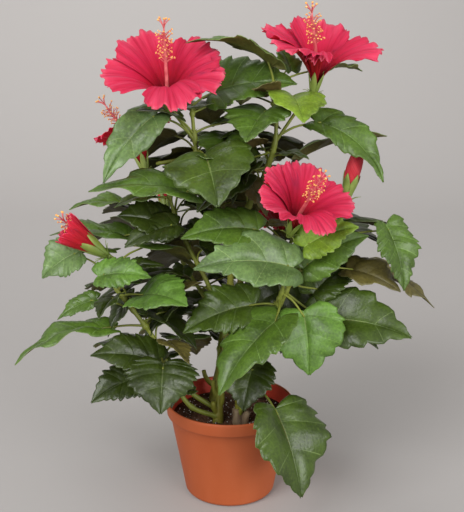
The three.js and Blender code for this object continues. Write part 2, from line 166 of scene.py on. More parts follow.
def pot_profile():
    """The wall's outline, up the outside from the middle of the foot and down the inside."""
    under_band = RIM_RADIUS - BAND_DEPTH
    shoulder = POT_HEIGHT - BAND_HEIGHT
    slope = (under_band - FOOT_RADIUS) / shoulder
    points = [(HUB, 0), (FOOT_RADIUS - FOOT_CORNER - 6, 0), (FOOT_RADIUS - FOOT_CORNER, 0)]
    for k in range(1, CORNER_STEPS + 1):
        turn = math.pi / 2 * k / CORNER_STEPS
        across = FOOT_RADIUS - FOOT_CORNER + (FOOT_CORNER + slope * FOOT_CORNER) * math.sin(turn)
        points.append((across, FOOT_CORNER * (1 - math.cos(turn))))
    for k in range(1, SIDE_STEPS + 1):
        height = FOOT_CORNER + (shoulder - 0.6 - FOOT_CORNER) * k / SIDE_STEPS
        points.append((FOOT_RADIUS + slope * height, height))
    points += [(under_band + 0.3, shoulder - 0.1), (RIM_RADIUS - 1.8, shoulder + 0.2),
               (RIM_RADIUS - 0.9, shoulder + 0.6), (RIM_RADIUS - 0.5, shoulder + 1.6),
               (RIM_RADIUS - 0.1, POT_HEIGHT - 3.4), (RIM_RADIUS, POT_HEIGHT - 1.6),
               (RIM_RADIUS - 0.3, POT_HEIGHT - 0.5), (RIM_RADIUS - 1.1, POT_HEIGHT),
               (RIM_RADIUS - POT_WALL + 0.3, POT_HEIGHT - 0.2),
               (RIM_RADIUS - POT_WALL - 0.1, POT_HEIGHT - 1.2),
               (RIM_RADIUS - POT_WALL - RIM_LIP / 3, shoulder + POT_WALL),
               (under_band - POT_WALL, shoulder),
               (FOOT_RADIUS - POT_WALL, FOOT_CORNER + POT_WALL),
               (HUB, FOOT_CORNER + POT_WALL - 1)]
    return points


plastic = Shader("terracotta_plastic", (0.38, 0.080, 0.020), 0.6)
cloudy = plastic.noise(14, 4)
streaky = plastic.noise(60, 3, (1, 1, 0.12))
plastic.colour(plastic.mix(0.25, plastic.ramp(cloudy, [(0.3, (0.350, 0.071, 0.018)),
                                                       (0.7, (0.400, 0.088, 0.023))]),
                           plastic.ramp(streaky, [(0.3, (0.33, 0.065, 0.016)),
                                                  (0.75, (0.44, 0.112, 0.042))])))
plastic.rough(streaky, 0.52, 0.72)
plastic.bump(plastic.noise(900, 2), 0.0001, 0.35)
plastic.bump(cloudy, 0.0012, 0.2)
plastic.shine(0.35)
# The inside near the rim is painted a brighter, redder red: a painted glow of light shining through
# the thin plastic wall.
plastic_inside_glow = Shader("terracotta_plastic_inside", (0.60, 0.045, 0.014), 0.6)
plastic_inside_glow.colour(plastic_inside_glow.ramp(plastic_inside_glow.noise(40, 3), [
    (0.3, (0.54, 0.036, 0.012)), (0.7, (0.66, 0.055, 0.018))]))
plastic_inside_glow.bump(plastic_inside_glow.noise(900, 2), 0.0001, 0.35)
pot_points, pot_faces = turned(pot_profile(), POT_SIDES)


def faces_in(face):
    """Whether a face belongs to the inside of the wall, near the rim."""
    corners = [pot_points[k] for k in face]
    return corners[0][2] > POT_HEIGHT - INSIDE_DEPTH and all(
        z > FOOT_CORNER and math.hypot(x, y) < RIM_RADIUS - POT_WALL + 0.1 for x, y, z in corners)


make_piece("pot_shell", pot_points, pot_faces, [plastic.material, plastic_inside_glow.material],
           "pot", ["pot"], [int(faces_in(face)) for face in pot_faces])

# Filling: a dark loose mix like potting soil, pressed round the stems a finger's width below the
# rim. Its top is lumpy, with crumbs standing up, and its plug fills the pot to the floor.
from mathutils import noise

SOIL_TOP, SOIL_MOUND, SOIL_REACH = 87, 3, 58.1
SOIL_RINGS, SOIL_SIDES = 44, 120


def soil_height(x, y):
    """The lumpy top of the filling, a little mounded in the middle."""
    far = min(1, math.hypot(x, y) / SOIL_REACH)
    lumps = noise.fractal(Vector((x, y, 3)) * 0.06, 1.0, 2.0, 3) * 1.6
    crumbs = noise.turbulence(Vector((x, y, 9)) * 0.28, 3, False) * 2.2
    settled = 1 - 0.8 * max(0, far - 0.93) / 0.07
    return SOIL_TOP - 1.8 - SOIL_MOUND * far ** 2 + (lumps + crumbs) * settled


def soil_mesh():
    """The top in rings from the middle, then the side wall down to the pot's floor."""
    points, faces = [(0, 0, soil_height(0, 0))], []
    for ring in range(1, SOIL_RINGS + 1):
        radius = SOIL_REACH * ring / SOIL_RINGS
        for k in range(SOIL_SIDES):
            angle = 2 * math.pi * k / SOIL_SIDES
            x, y = radius * math.cos(angle), radius * math.sin(angle)
            points.append((x, y, soil_height(x, y)))
    shrink = (FOOT_RADIUS - POT_WALL - 2) / SOIL_REACH
    for k in range(SOIL_SIDES):
        x, y, _ = points[1 + (SOIL_RINGS - 1) * SOIL_SIDES + k]
        points.append((x * shrink, y * shrink, FOOT_CORNER + POT_WALL + 1))
    for k in range(SOIL_SIDES):
        faces.append((0, 1 + k, 1 + (k + 1) % SOIL_SIDES))
    for ring in range(SOIL_RINGS):
        for k in range(SOIL_SIDES):
            a, b = 1 + ring * SOIL_SIDES + k, 1 + ring * SOIL_SIDES + (k + 1) % SOIL_SIDES
            faces.append((a, a + SOIL_SIDES, b + SOIL_SIDES, b))
    faces.append(tuple(1 + SOIL_RINGS * SOIL_SIDES + k for k in reversed(range(SOIL_SIDES))))
    return points, faces


earth = Shader("soil_filling", (0.028, 0.016, 0.010), 0.95)
earth.colour(earth.mix(earth.noise(420, 4), earth.ramp(earth.noise(34, 4), [
    (0.34, (0.030, 0.018, 0.012)), (0.50, (0.130, 0.068, 0.042)), (0.68, (0.340, 0.170, 0.100))]),
    (0.060, 0.032, 0.020)))
earth.bump(earth.noise(380, 5), 0.0012, 0.9)
earth.shine(0.1)
make_piece("soil_filling", *soil_mesh(), [earth.material], "soil", ["soil"])


# Grit: white grains of expanded perlite and short reddish fibres lie over the top of the filling,
# scattered by a Geometry Nodes tree with a fixed seed on the part of the top that shows.
class Growth:
    """A Geometry Nodes tree on one base mesh, whose evaluated result becomes a plain piece."""

    def __init__(self, name):
        self.tree = bpy.data.node_groups.new(name, "GeometryNodeTree")
        self.tree.interface.new_socket("Base", in_out="INPUT", socket_type="NodeSocketGeometry")
        self.tree.interface.new_socket("Result", in_out="OUTPUT", socket_type="NodeSocketGeometry")
        self.start = self.tree.nodes.new("NodeGroupInput")
        self.values = {}

    def number(self, label, value, whole=False):
        """A named input of the tree, and the value that it is given."""
        kind = "NodeSocketInt" if whole else "NodeSocketFloat"
        socket = self.tree.interface.new_socket(label, in_out="INPUT", socket_type=kind)
        self.values[socket.identifier] = value
        return self.start.outputs[label]

    def node(self, kind, settings=None, **inputs):
        """Adds a node. Inputs are given by name with _ for a space, or as i and their number, and
        are sockets or values."""
        family = "" if kind.startswith(("Function", "Shader")) else "GeometryNode"
        made = self.tree.nodes.new(family + kind)
        for key, value in (settings or {}).items():
            setattr(made, key, value)
        for key, value in inputs.items():
            numbered = key[0] == "i" and key[1:].isdigit()
            socket = made.inputs[int(key[1:]) if numbered else key.replace("_", " ")]
            if isinstance(value, bpy.types.NodeSocket):
                self.tree.links.new(value, socket)
            else:
                socket.default_value = value
        return made

    def grow(self, name, base, geometry, material):
        """Ends the tree, evaluates it on the base mesh and keeps the result as a piece."""
        real = self.node("RealizeInstances", Geometry=geometry)
        painted = self.node("SetMaterial", Geometry=real.outputs[0], Material=material)
        end = self.tree.nodes.new("NodeGroupOutput")
        self.tree.links.new(painted.outputs[0], end.inputs[0])
        piece = bpy.data.objects.new(name, base)
        bpy.context.scene.collection.objects.link(piece)
        modifier = piece.modifiers.new(name, "NODES")
        modifier.node_group = self.tree
        for identifier, value in self.values.items():
            modifier[identifier] = value
        graph = bpy.context.evaluated_depsgraph_get()
        result = bpy.data.meshes.new_from_object(piece.evaluated_get(graph))
        piece.modifiers.clear()
        piece.data = result
        result.materials.clear()
        result.materials.append(material)
        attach(piece, "root")
        return piece


GRIT_REACH, GRIT_CELL = 54, 4
FULL_TURN = 6.28


def top_mesh(name):
    """The filling's top as a coarse sheet to scatter on."""
    cells = range(-GRIT_REACH, GRIT_REACH, GRIT_CELL)
    points, faces = [], []
    for x in cells:
        for y in cells:
            if math.hypot(x + GRIT_CELL / 2, y + GRIT_CELL / 2) < GRIT_REACH:
                first = len(points)
                for dx, dy in ((0, 0), (GRIT_CELL, 0), (GRIT_CELL, GRIT_CELL), (0, GRIT_CELL)):
                    height = soil_height(x + dx, y + dy)
                    points.append((MM * (x + dx), MM * (y + dy), MM * height))
                faces.append((first, first + 1, first + 2, first + 3))
    mesh = bpy.data.meshes.new(name)
    mesh.from_pydata(points, [], faces)
    return mesh


def scatter(name, density, seed, shape, low, high, material):
    """Copies of one small shape, turned at random, over the top of the filling."""
    growth = Growth(name)
    spread = growth.node("DistributePointsOnFaces", Mesh=growth.start.outputs["Base"],
                         Density=growth.number("Grains per square metre", density),
                         Seed=growth.number("Seed", seed, whole=True))
    turn = growth.node("FunctionNodeRandomValue", {"data_type": "FLOAT_VECTOR"},
                       i1=(FULL_TURN,) * 3, Seed=growth.number("Turning seed", seed + 1, True))
    size = growth.node("FunctionNodeRandomValue", {"data_type": "FLOAT"},
                       i2=growth.number("Smallest", low), i3=growth.number("Largest", high),
                       Seed=growth.number("Size seed", seed + 2, True))
    placed = growth.node("InstanceOnPoints", Points=spread.outputs["Points"],
                         Instance=shape(growth), Rotation=turn.outputs[0], Scale=size.outputs[1])
    return growth.grow(name, top_mesh(name), placed.outputs[0], material)


def grain(growth):
    """A small round grain."""
    ball = growth.node("MeshIcoSphere", Radius=growth.number("Grain radius", 0.001))
    return ball.outputs["Mesh"]


def fibre(growth):
    """A short straight fibre."""
    straw = growth.node("MeshCylinder", Vertices=4, Radius=growth.number("Fibre radius", 0.00025),
                        Depth=growth.number("Fibre length", 0.009))
    return straw.outputs["Mesh"]


perlite = Shader("perlite", (0.72, 0.70, 0.64), 0.9)
perlite.colour(perlite.ramp(perlite.noise(300, 2), [(0.3, (0.55, 0.52, 0.45)),
                                                    (0.7, (0.82, 0.80, 0.75))]))
scatter("perlite_grains", 30000, 5, grain, 0.3, 0.9, perlite.material)
bark = Shader("soil_fibre", (0.10, 0.045, 0.022), 0.9)
bark.colour(bark.ramp(bark.noise(120, 2), [(0.3, (0.070, 0.032, 0.020)),
                                           (0.7, (0.28, 0.130, 0.070))]))
scatter("soil_fibres", 26000, 21, fibre, 0.35, 1.0, bark.material)

# Stems: moulded olive-green plastic over wire, set in the filling, with a flared foot and raised
# rings where leaves once grew. The right-hand one stands in a brown woody foot, cut off square.
PATH_STEPS = 200


def towards(turn, rise):
    """The direction with the given turn about +Z and rise above level, both in degrees."""
    turn, rise = math.radians(turn), math.radians(rise)
    level = math.cos(rise)
    return Vector((level * math.cos(turn), level * math.sin(turn), math.sin(rise)))


class Path:
    """A smooth curve through points, walked by the share of its length."""

    def __init__(self, points):
        p = [Vector(x) for x in points]
        self.points = [2 * p[0] - p[1], *p, 2 * p[-1] - p[-2]]
        self.spans = len(p) - 1
        steps = [self.raw(k / PATH_STEPS) for k in range(PATH_STEPS + 1)]
        self.walked = [0.0]
        for a, b in zip(steps, steps[1:]):
            self.walked.append(self.walked[-1] + (b - a).length)
        self.length = self.walked[-1]

    def raw(self, t):
        """A centripetal spline, as the stems' solids follow."""
        place = t * self.spans
        span = min(int(place), self.spans - 1)
        share = place - span
        a, b, c, d = self.points[span:span + 4]
        first, second, third = (max((q - p).length_squared ** 0.25, 1e-4)
                                for p, q in ((a, b), (b, c), (c, d)))
        start = ((b - a) / first - (c - a) / (first + second) + (c - b) / second) * second
        end = ((c - b) / second - (d - b) / (second + third) + (d - c) / third) * second
        return (b + start * share + (3 * (c - b) - 2 * start - end) * share ** 2
                + (2 * (b - c) + start + end) * share ** 3)

    def at(self, share):
        """The point at a share of the length."""
        target = share * self.length
        low, high = 0, PATH_STEPS
        while high - low > 1:
            middle = (low + high) // 2
            if self.walked[middle] <= target:
                low = middle
            else:
                high = middle
        span = self.walked[low + 1] - self.walked[low]
        return self.raw((low + (target - self.walked[low]) / span) / PATH_STEPS)



class Gather:
    """Collects like shapes into one mesh, each face with the number of its material."""

    def __init__(self):
        self.points, self.faces, self.kinds, self.maps = [], [], [], []

    def add(self, points, faces, kind=0):
        first = len(self.points)
        self.points += [tuple(p) for p in points]
        self.faces += [tuple(first + k for k in face) for face in faces]
        self.kinds += [kind] * len(faces) if isinstance(kind, int) else list(kind)

    def piece(self, name, materials, slot, nodes=()):
        return make_piece(name, self.points, self.faces, materials, slot, nodes, self.kinds)


def tube(walk, radii, sides=8, relief=None):
    """A closed tube along points, with a radius at each and rounded ends."""
    walk = [Vector(p) for p in walk]
    count = len(walk)
    tangents = [(walk[min(k + 1, count - 1)] - walk[max(k - 1, 0)]).normalized()
                for k in range(count)]
    side = tangents[0].orthogonal().normalized()
    points, faces = [walk[0] - tangents[0] * radii[0] * 0.3], []
    for k, (centre, ahead) in enumerate(zip(walk, tangents)):
        side = (side - ahead * side.dot(ahead)).normalized()
        back = ahead.cross(side)
        for j in range(sides):
            angle = 2 * math.pi * j / sides
            radius = radii[k] * (1 + (relief(k, angle) if relief else 0))
            points.append(centre + (side * math.cos(angle) + back * math.sin(angle)) * radius)
    points.append(walk[-1] + tangents[-1] * radii[-1] * 0.4)
    for j in range(sides):
        after = (j + 1) % sides
        faces.append((0, 1 + after, 1 + j))
        last = 1 + (count - 1) * sides
        faces.append((last + j, last + after, len(points) - 1))
    for k in range(count - 1):
        for j in range(sides):
            a, b = 1 + k * sides + j, 1 + k * sides + (j + 1) % sides
            faces.append((a, b, b + sides, a + sides))
    return points, faces


def ringed(path, start, end, radius_at, rings, step=1.6, height=0.5, reach=1.6):
    """Points and radii along part of a path, swollen at the rings' shares of it."""
    steps = max(4, int((end - start) * path.length / step))
    walk, radii = [], []
    for k in range(steps + 1):
        share = start + (end - start) * k / steps
        swell = sum(height * math.exp(-((share - ring) * path.length / reach) ** 2)
                    for ring in rings)
        walk.append(path.at(share))
        radii.append(radius_at(share) + swell)
    return walk, radii


def grooved(seed, depth=0.05):
    """Relief like furrowed bark, running along a stem."""
    def relief(k, angle):
        place = Vector((1.6 * math.cos(angle), 1.6 * math.sin(angle), 0.16 * k + seed))
        return depth * noise.fractal(place, 1.0, 2.0, 3)
    return relief


STEMS = {
    "stem_main": (4.4, 2.9, [(-12, -28, 74), (-11, -23, 100), (-4, -8, 150), (0, 6, 205),
                             (2, 12, 262)]),
    "stem_right": (4.2, 3, [(9, -28, 74), (10, -24, 105), (24, -20, 150), (42, -20, 190)]),
    "stem_back": (4.6, 3, [(-18, 30, 74), (-12, 44, 110), (4, 55, 160), (12, 60, 215),
                           (12, 60, 262)]),
}
FLARE_SWELL, FLARE_SHARE = 1.9, 0.16
# Cut stubs: the stem each stands on, how far up, its turn, rise, length and radius.
STUBS = [("stem_main", 0.10, -140, 35, 15, 2.6), ("stem_main", 0.13, -30, 50, 19, 2.4),
         ("stem_main", 0.17, 150, 40, 20, 2.2), ("stem_back", 0.12, 200, 25, 24, 2.3),
         ("stem_back", 0.30, 20, 35, 14, 2.2), ("stem_right", 0.22, 200, 55, 13, 2.1)]


def stem_radius(foot, top):
    """A stem's radius by the share of its length, flared at its foot."""
    return lambda share: (foot + (top - foot) * share
                          + FLARE_SWELL * max(0, 1 - share / FLARE_SHARE))


stems, wood = Gather(), Gather()
for number, (name, (foot, top, route)) in enumerate(STEMS.items()):
    path = Path(route)
    rings = [0.09 + 0.135 * k for k in range(7)]
    walk, radii = ringed(path, 0, 1, stem_radius(foot, top), rings, height=0.55)
    stems.add(*tube(walk, radii, 16, grooved(7 * number, 0.07)))
for name, share, turn, rise, long, radius in STUBS:
    path = Path(STEMS[name][2])
    root = path.at(share)
    walk = [root + towards(turn, rise + 6 * k) * (long * k / 5) for k in range(6)]
    stems.add(*tube(walk, [radius * (1.25 - 0.05 * k) for k in range(6)], 12, grooved(share)))
foot_path = Path(STEMS["stem_right"][2])
walk, radii = ringed(foot_path, 0, 0.19, lambda share: 7.1 - 4 * share, [0.1, 0.185], height=0.5)
wood.add(*tube(walk, radii, 18, grooved(31, 0.16)))
wood.add(*tube([(14, -30, 76), (16, -31, 92), (18, -31, 97)], [4.2, 3.7, 3.4], 12, grooved(5, 0.2)))

green = Shader("green_stem", (0.13, 0.15, 0.035), 0.5)
patchy = green.noise(38, 3, (1, 1, 0.4))
green.colour(green.ramp(patchy, [(0.32, (0.125, 0.098, 0.016)), (0.5, (0.165, 0.165, 0.018)),
                                 (0.68, (0.235, 0.245, 0.030))]))
green.shine(0.3)
green.rough(patchy, 0.42, 0.62)
green.bump(green.noise(260, 3, (1, 1, 0.15)), 0.0004, 0.6)
woody = Shader("brown_wood", (0.085, 0.055, 0.035), 0.8)
woody.colour(woody.ramp(woody.noise(150, 4, (1, 1, 0.2)), [
    (0.3, (0.070, 0.042, 0.024)), (0.52, (0.165, 0.115, 0.062)), (0.75, (0.30, 0.24, 0.15))]))
woody.bump(woody.noise(320, 4, (1, 1, 0.15)), 0.0008, 0.8)
stems.piece("stems", [green.material], "stem", list(STEMS))
wood.piece("woody_feet", [woody.material], "stem")

# Shoots: each is one branching length of the same green plastic, bare where it leaves its stem and
# leafy beyond, with a collar wherever a leaf or a bloom is plugged in on its stalk.
from mathutils.bvhtree import BVHTree

# enter is the share of the path where the leaves begin. A leaf is (finish, share of the path, its
# stalk's turn, rise and length, its blade's turn, pitch and length, width as a share of length,
# roll, droop). A bloom is (share, its stalk's turn, rise and length, its axis's turn and rise,
# mouth radius, kind, its column's turn and rise). fill grows more leaves by rule: how many, the
# side they face, how far round they spread, and their usual length.
SHOOTS = {
    "upper_left": dict(
        enter=0.52,
        path=[(0, 10, 252), (-14, 7, 295), (-27, 3, 330), (-32, 0, 352), (-34, 0, 370),
              (-36, 2, 394)],
        leaves=[
            ("mid", 0.6, -100, -32, 38, -170, 3, 98, 0.42, -25),
            ("deep", 0.71, -70, 2, 26, -76, -38, 68, 1.2, 12),
            ("pale", 0.8, -157, 34, 44, -141, -45, 87, 0.44, -46),
            ("dark", 0.96, 20, 15, 25, -167, -12, 50, 0.5, -10),
            ("mid", 1, 35, 28, 26, -10, 6, 84, 0.74, 44),
            ("dark", 0.12, -160, 30, 18, 175, -20, 46, 0.72, -15),
        ],
        blooms=[
            (0.78, -158, 50, 39, -93, 58, 54.5, "open", -97, 80),
            (0.68, 160, -18, 58, 140, 68, 40, "open", 165, 50),
        ],
        fill=(4, 90, 110, 70)),
    "upper_right": dict(
        enter=0.5,
        path=[(3, 14, 258), (20, 10, 300), (36, 3, 335), (43, 0, 358), (44, 2, 386),
              (40, 6, 414)],
        leaves=[
            ("mid", 0.95, -100, 76, 27, -166, 14, 88, 0.6, 0, 55),
            ("deep", 0.6, 27, -10, 32, 10, 13, 92, 0.5, -15),
            ("mid", 0.7, 7, 22, 41, -16, -40, 92, 0.42, 40, 60),
            ("dark", 0.52, -165, -15, 24, -150, -32, 62, 0.85, -20),
            ("dark", 0.62, 170, -25, 26, 150, 5, 56, 0.8, -30),
            ("mid", 0.82, -168, 36, 11, -115, -28, 56, 1.15, 0),
            ("lime", 0.89, -12, 26, 19, -83, -22, 58, 0.95, -9),
            ("olive", 0.89, 150, 12, 35, 165, -5, 42, 0.6, 0),
            ("mid", 1, 30, 30, 26, 125, 45, 32, 0.85, 0),
            ("mid", 1, 11, 15, 54, 28, -2, 45, 0.6, 0),
            ("olive", 0.52, 98, 67, 24, 167, -29, 40, 0.80, 10),
            ("dark", 0.55, 119, 38, 17, 12, -21, 42, 0.62, -10),
            ("dark", 0.40, -108, 64, 25, -161, -58, 46, 0.85, 0),
            ("olive", 0.33, -113, 47, 23, -31, -58, 40, 0.80, 10),
            ("dark", 0.25, -139, 74, 35, -168, -52, 46, 0.75, 0),
        ],
        blooms=[
            (0.67, 5, 52, 59, -40, 80, 55, "open", -112, 62),
        ],
        fill=(2, 110, 70, 66)),
    "right": dict(
        enter=0.2,
        path=[(42, -19, 192), (50, -18, 205), (56, -19, 220), (66, -20, 238), (72, -14, 262)],
        leaves=[
            ("mid", 0.85, 9, 20, 89, -51, -67, 68, 0.72, 0),
            ("deep", 0.36, -8, -42, 40, -13, -7, 95, 0.68, 48),
            ("deep", 0.5, 23, -28, 28, 33, 25, 60, 0.8, 20),
            ("olive", 0.6, 32, -3, 82, -8, -26, 86, 0.62, 0),
            ("olive", 0.68, 18, -2, 52, -26, -17, 58, 0.8, 16),
            ("mid", 0.85, -88, -28, 15, 5, 26, 71, 0.65, 55),
            ("lime", 0.85, -89, 37, 26, -8, 22, 55, 0.74, 55),
        ],
        blooms=[
            (0.4, -88, 74, 62, -62, 54, 45, "open", -66, 44),
            (0.95, 21, 46, 64, 13, 76, 7.4, "bud"),
        ],
        fill=(3, 75, 60, 70)),
    "front": dict(
        enter=0.2,
        path=[(41, -22, 184), (44, -32, 205), (50, -38, 225), (52, -40, 246), (46, -38, 262)],
        leaves=[
            ("deep", 0.33, 168, -4, 21, -166, -18, 76, 0.72, -36),
            ("mid", 0.42, -90, -38, 22, -143, -40, 95, 0.72, -5),
            ("bright", 0.5, -13, -38, 27, -76, -70, 62, 1.15, 12),
            ("pale", 0.84, -46, 0, 12, -163, 3, 98, 0.6, -48),
            ("mid", 1, 159, 45, 28, -167, -4, 76, 0.66, -42),
        ],
    ),
    "left": dict(
        enter=0.52,
        path=[(-11, -25, 96), (-40, -24, 116), (-64, -21, 148), (-77, -20, 174),
              (-101, -20, 208), (-113, -19, 226), (-110, -20, 250)],
        leaves=[
            ("mid", 0.6, -172, -3, 36, -164, -17, 99, 0.42, -5, 60),
            ("mid", 0.7, 173, 16, 38, -173, -27, 44, 0.5, -35),
            ("bright", 0.8, -20, 5, 20, -46, 4, 72, 0.8, 28),
            ("pale", 0.88, 169, 42, 44, -171, -35, 46, 0.92, -45),
            ("bright", 0.88, -115, 26, 28, -7, 0, 52, 0.7, 40),
            ("deep", 0.9, 95, 44, 32, 170, -14, 58, 0.45, 0),
            ("dark", 0.5, 75, 71, 26, -17, -38, 52, 0.8, 0),
            ("dark", 0.62, 28, 18, 33, -157, -46, 44, 0.8, 0),
            ("dark", 0.75, 54, 35, 12, -154, -55, 50, 0.75, 0),
        ],
        blooms=[
            (1, -164, 32, 10, -166, 36, 16.5, "half", -166, 50),
        ],
        fill=(4, 95, 60, 66)),
    "left_high": dict(
        enter=0.55,
        path=[(-3, -4, 165), (-20, 4, 215), (-38, 10, 250), (-50, 11, 275), (-56, 9, 295),
              (-60, 6, 314)],
        leaves=[
            ("mid", 0.75, 173, -13, 53, 176, 1, 82, 0.45, -10),
            ("dark", 0.81, -84, -3, 24, -161, -20, 56, 0.75, -25),
            ("dark", 0.8, -119, -30, 13, -158, 17, 56, 0.9, -40),
            ("mid", 0.95, -179, -7, 44, -174, -6, 56, 0.55, -5),
            ("deep", 1, -144, -14, 18, -162, -14, 40, 0.7, -10),
            ("dark", 1, -20, 10, 18, -10, -10, 50, 0.7, 20),
            ("dark", 0.5, -65, 70, 21, -19, -37, 42, 0.75, 0),
            ("dark", 0.74, -37, 71, 26, -12, -30, 44, 0.7, 0),
        ],
        fill=(4, 120, 90, 72)),
    "low_left": dict(
        enter=0.6,
        path=[(-12, -27, 90), (-38, -30, 102), (-56, -28, 128), (-64, -29, 144), (-68, -33, 158)],
        leaves=[
            ("dark", 0.7, -40, -10, 32, -165, -14, 30, 0.6, 0),
            ("dark", 0.7, 153, -5, 28, -158, -20, 62, 0.75, -35),
            ("dark", 0.92, -95, 10, 9, -162, 12, 70, 0.68, -34),
            ("dark", 0.95, -80, 8, 24, -92, -50, 50, 1.3, 0),
            ("dark", 0.5, 58, 45, 25, -152, -60, 44, 0.75, 0),
        ],
        fill=(3, 130, 60, 66)),
    "low_front": dict(
        enter=0.45,
        path=[(9, -27, 92), (16, -38, 110), (26, -44, 121), (33, -42, 136)],
        leaves=[
            ("deep", 0.8, -58, -20, 29, -55, -61, 86, 1.05, -8),
            ("dark", 1, 125, 28, 20, -109, -52, 48, 1.1, 0),
        ],
    ),
    "back_left": dict(
        enter=0.4,
        path=[(0, 52, 145), (-28, 75, 185), (-52, 92, 220), (-66, 100, 255)],
        blooms=[
            (0.9, 110, 40, 36, 110, 60, 6.5, "bud"),
        ],
        fill=(8, 120, 180, 86)),
    "back_right": dict(
        enter=0.4,
        path=[(10, 58, 170), (38, 72, 205), (62, 85, 235), (76, 92, 265)],
        blooms=[
            (0.55, 80, 20, 40, 75, 45, 44, "open", 75, 65),
        ],
        fill=(8, 60, 180, 86)),
    "back_top": dict(
        enter=0.3,
        path=[(12, 60, 255), (10, 60, 300), (8, 58, 335), (4, 55, 362)],
        fill=(8, 90, 180, 82)),
    "back_low": dict(
        enter=0.4,
        path=[(-12, 46, 118), (-10, 70, 140), (-4, 92, 155), (0, 112, 172)],
        fill=(7, 90, 150, 82)),
    "low_right": dict(
        enter=0.5,
        path=[(0, 50, 130), (35, 48, 148), (66, 44, 165), (88, 42, 186)],
        fill=(6, 60, 100, 72)),
}

# A shoot's radii where it leaves its stem, where its leaves begin and at its tip.
BOUGH_START, BOUGH_ENTER, BOUGH_TIP = 2.6, 2.2, 1.6
# The plain blade's width as a share of its length, droop in degrees and fold along its midrib,
# then the lobe behind its stalk, how long and over what share of the blade.
LEAF_WIDTH, LEAF_DROOP, LEAF_FOLD, LEAF_LOBE, LOBE_SHARE = 0.75, 35, 0.22, 0.09, 0.35
STALK_ROOT, STALK_BOW = 6, 0.06
INNER_LEAVES = 5  # small young leaves close to each shoot, between the others, in dark greens that are painted shade of the foliage's inside
NO_INNER_LEAVES = ("low_left", "low_front", "right", "front")
INNER_TURN = 137.5  # degrees from one inner leaf to the next
SKIN_REACH = 0.3  # how near to the skin of the frame's mass a corner counts as held, in mm
BLADE_WIDEST = 0.28  # where along a plain blade it is widest
# The lift and swing, in degrees, at which a leaf that grows by rule is tried, in this order.
NUDGES = [
    (0, 0), (8, 0), (-8, 0), (0, 12), (0, -12), (16, 6), (-16, -6), (10, 20), (-10, -20),
    (26, -12), (-26, 12), (0, 32), (0, -32), (38, 0), (-38, 0), (20, 45), (-20, -45),
]


DICE_STEP, DICE_SPAN = 16807, 2147483647


def dice(seed):
    """A small repeatable source of numbers between 0 and 1."""
    state = seed
    while True:
        state = state * DICE_STEP % DICE_SPAN
        yield state / DICE_SPAN


class Leaf:
    """Where one leaf's stalk and blade are."""

    def __init__(self, path, kind, share, stalk_turn, rise, stalk, turn, pitch, long,
                 width=LEAF_WIDTH, roll=0, droop=LEAF_DROOP):
        self.kind, self.share, self.stalk, self.long = kind, share, stalk, long
        self.width, self.turn = width, turn
        self.node = path.at(share)
        self.out = towards(stalk_turn, rise)
        self.base = self.node + self.out * stalk
        self.bow = math.radians(droop)
        self.first = math.radians(pitch) + self.bow / 2
        self.roll = math.radians(roll)
        self.heading = np.array(towards(turn, 0))
        self.level = np.cross((0, 0, 1), self.heading)

    def place(self, reach, along, lift):
        """Puts points of the flat blade in place: reach from the midrib and lift off the blade in
        millimetres, along as a share of the blade from 0 at the stalk to 1 at the tip."""
        reach, along, lift = (np.asarray(x, float)[..., None] for x in (reach, along, lift))
        slope = self.first - self.bow * along
        run = (math.sin(self.first) - np.sin(slope)) / self.bow * self.long
        climb = (np.cos(slope) - math.cos(self.first)) / self.bow * self.long
        up = np.array((0.0, 0.0, 1.0))
        ahead = np.cos(slope) * self.heading + np.sin(slope) * up
        side = math.cos(self.roll) * self.level + math.sin(self.roll) * np.cross(ahead, self.level)
        normal = np.cross(ahead, side)
        return (np.array(self.base) + run * self.heading + climb * up
                + reach * side + lift * normal)

    def corner(self, across, along):
        """A corner of the plain blade that stands for this leaf in the frame."""
        half = self.width * self.long / 2
        x, y = edge_of_blade(along)
        reach = abs(across) * x * half
        return self.place(across * x * half, y if across else along, LEAF_FOLD * reach)


def edge_of_blade(along):
    """The blade's plain edge: half its width as a share of the greatest, and where along it."""
    swollen = (0.05 + 0.95 * along) ** 0.62
    wide = max(0.03, max(0, math.sin(math.pi * swollen)) ** 0.85)
    return wide, along - LEAF_LOBE * max(0, 1 - along / LOBE_SHARE) ** 2


def stalk_walk(node, out, long, base, ahead, steps=9):
    """The points of a stalk that bows up a little and runs on into what it carries."""
    middle = node + out * (long * 0.5) + UP * (long * STALK_BOW)
    path = Path([node, middle, base + ahead * STALK_ROOT])
    return [path.at(k / steps) for k in range(steps + 1)]


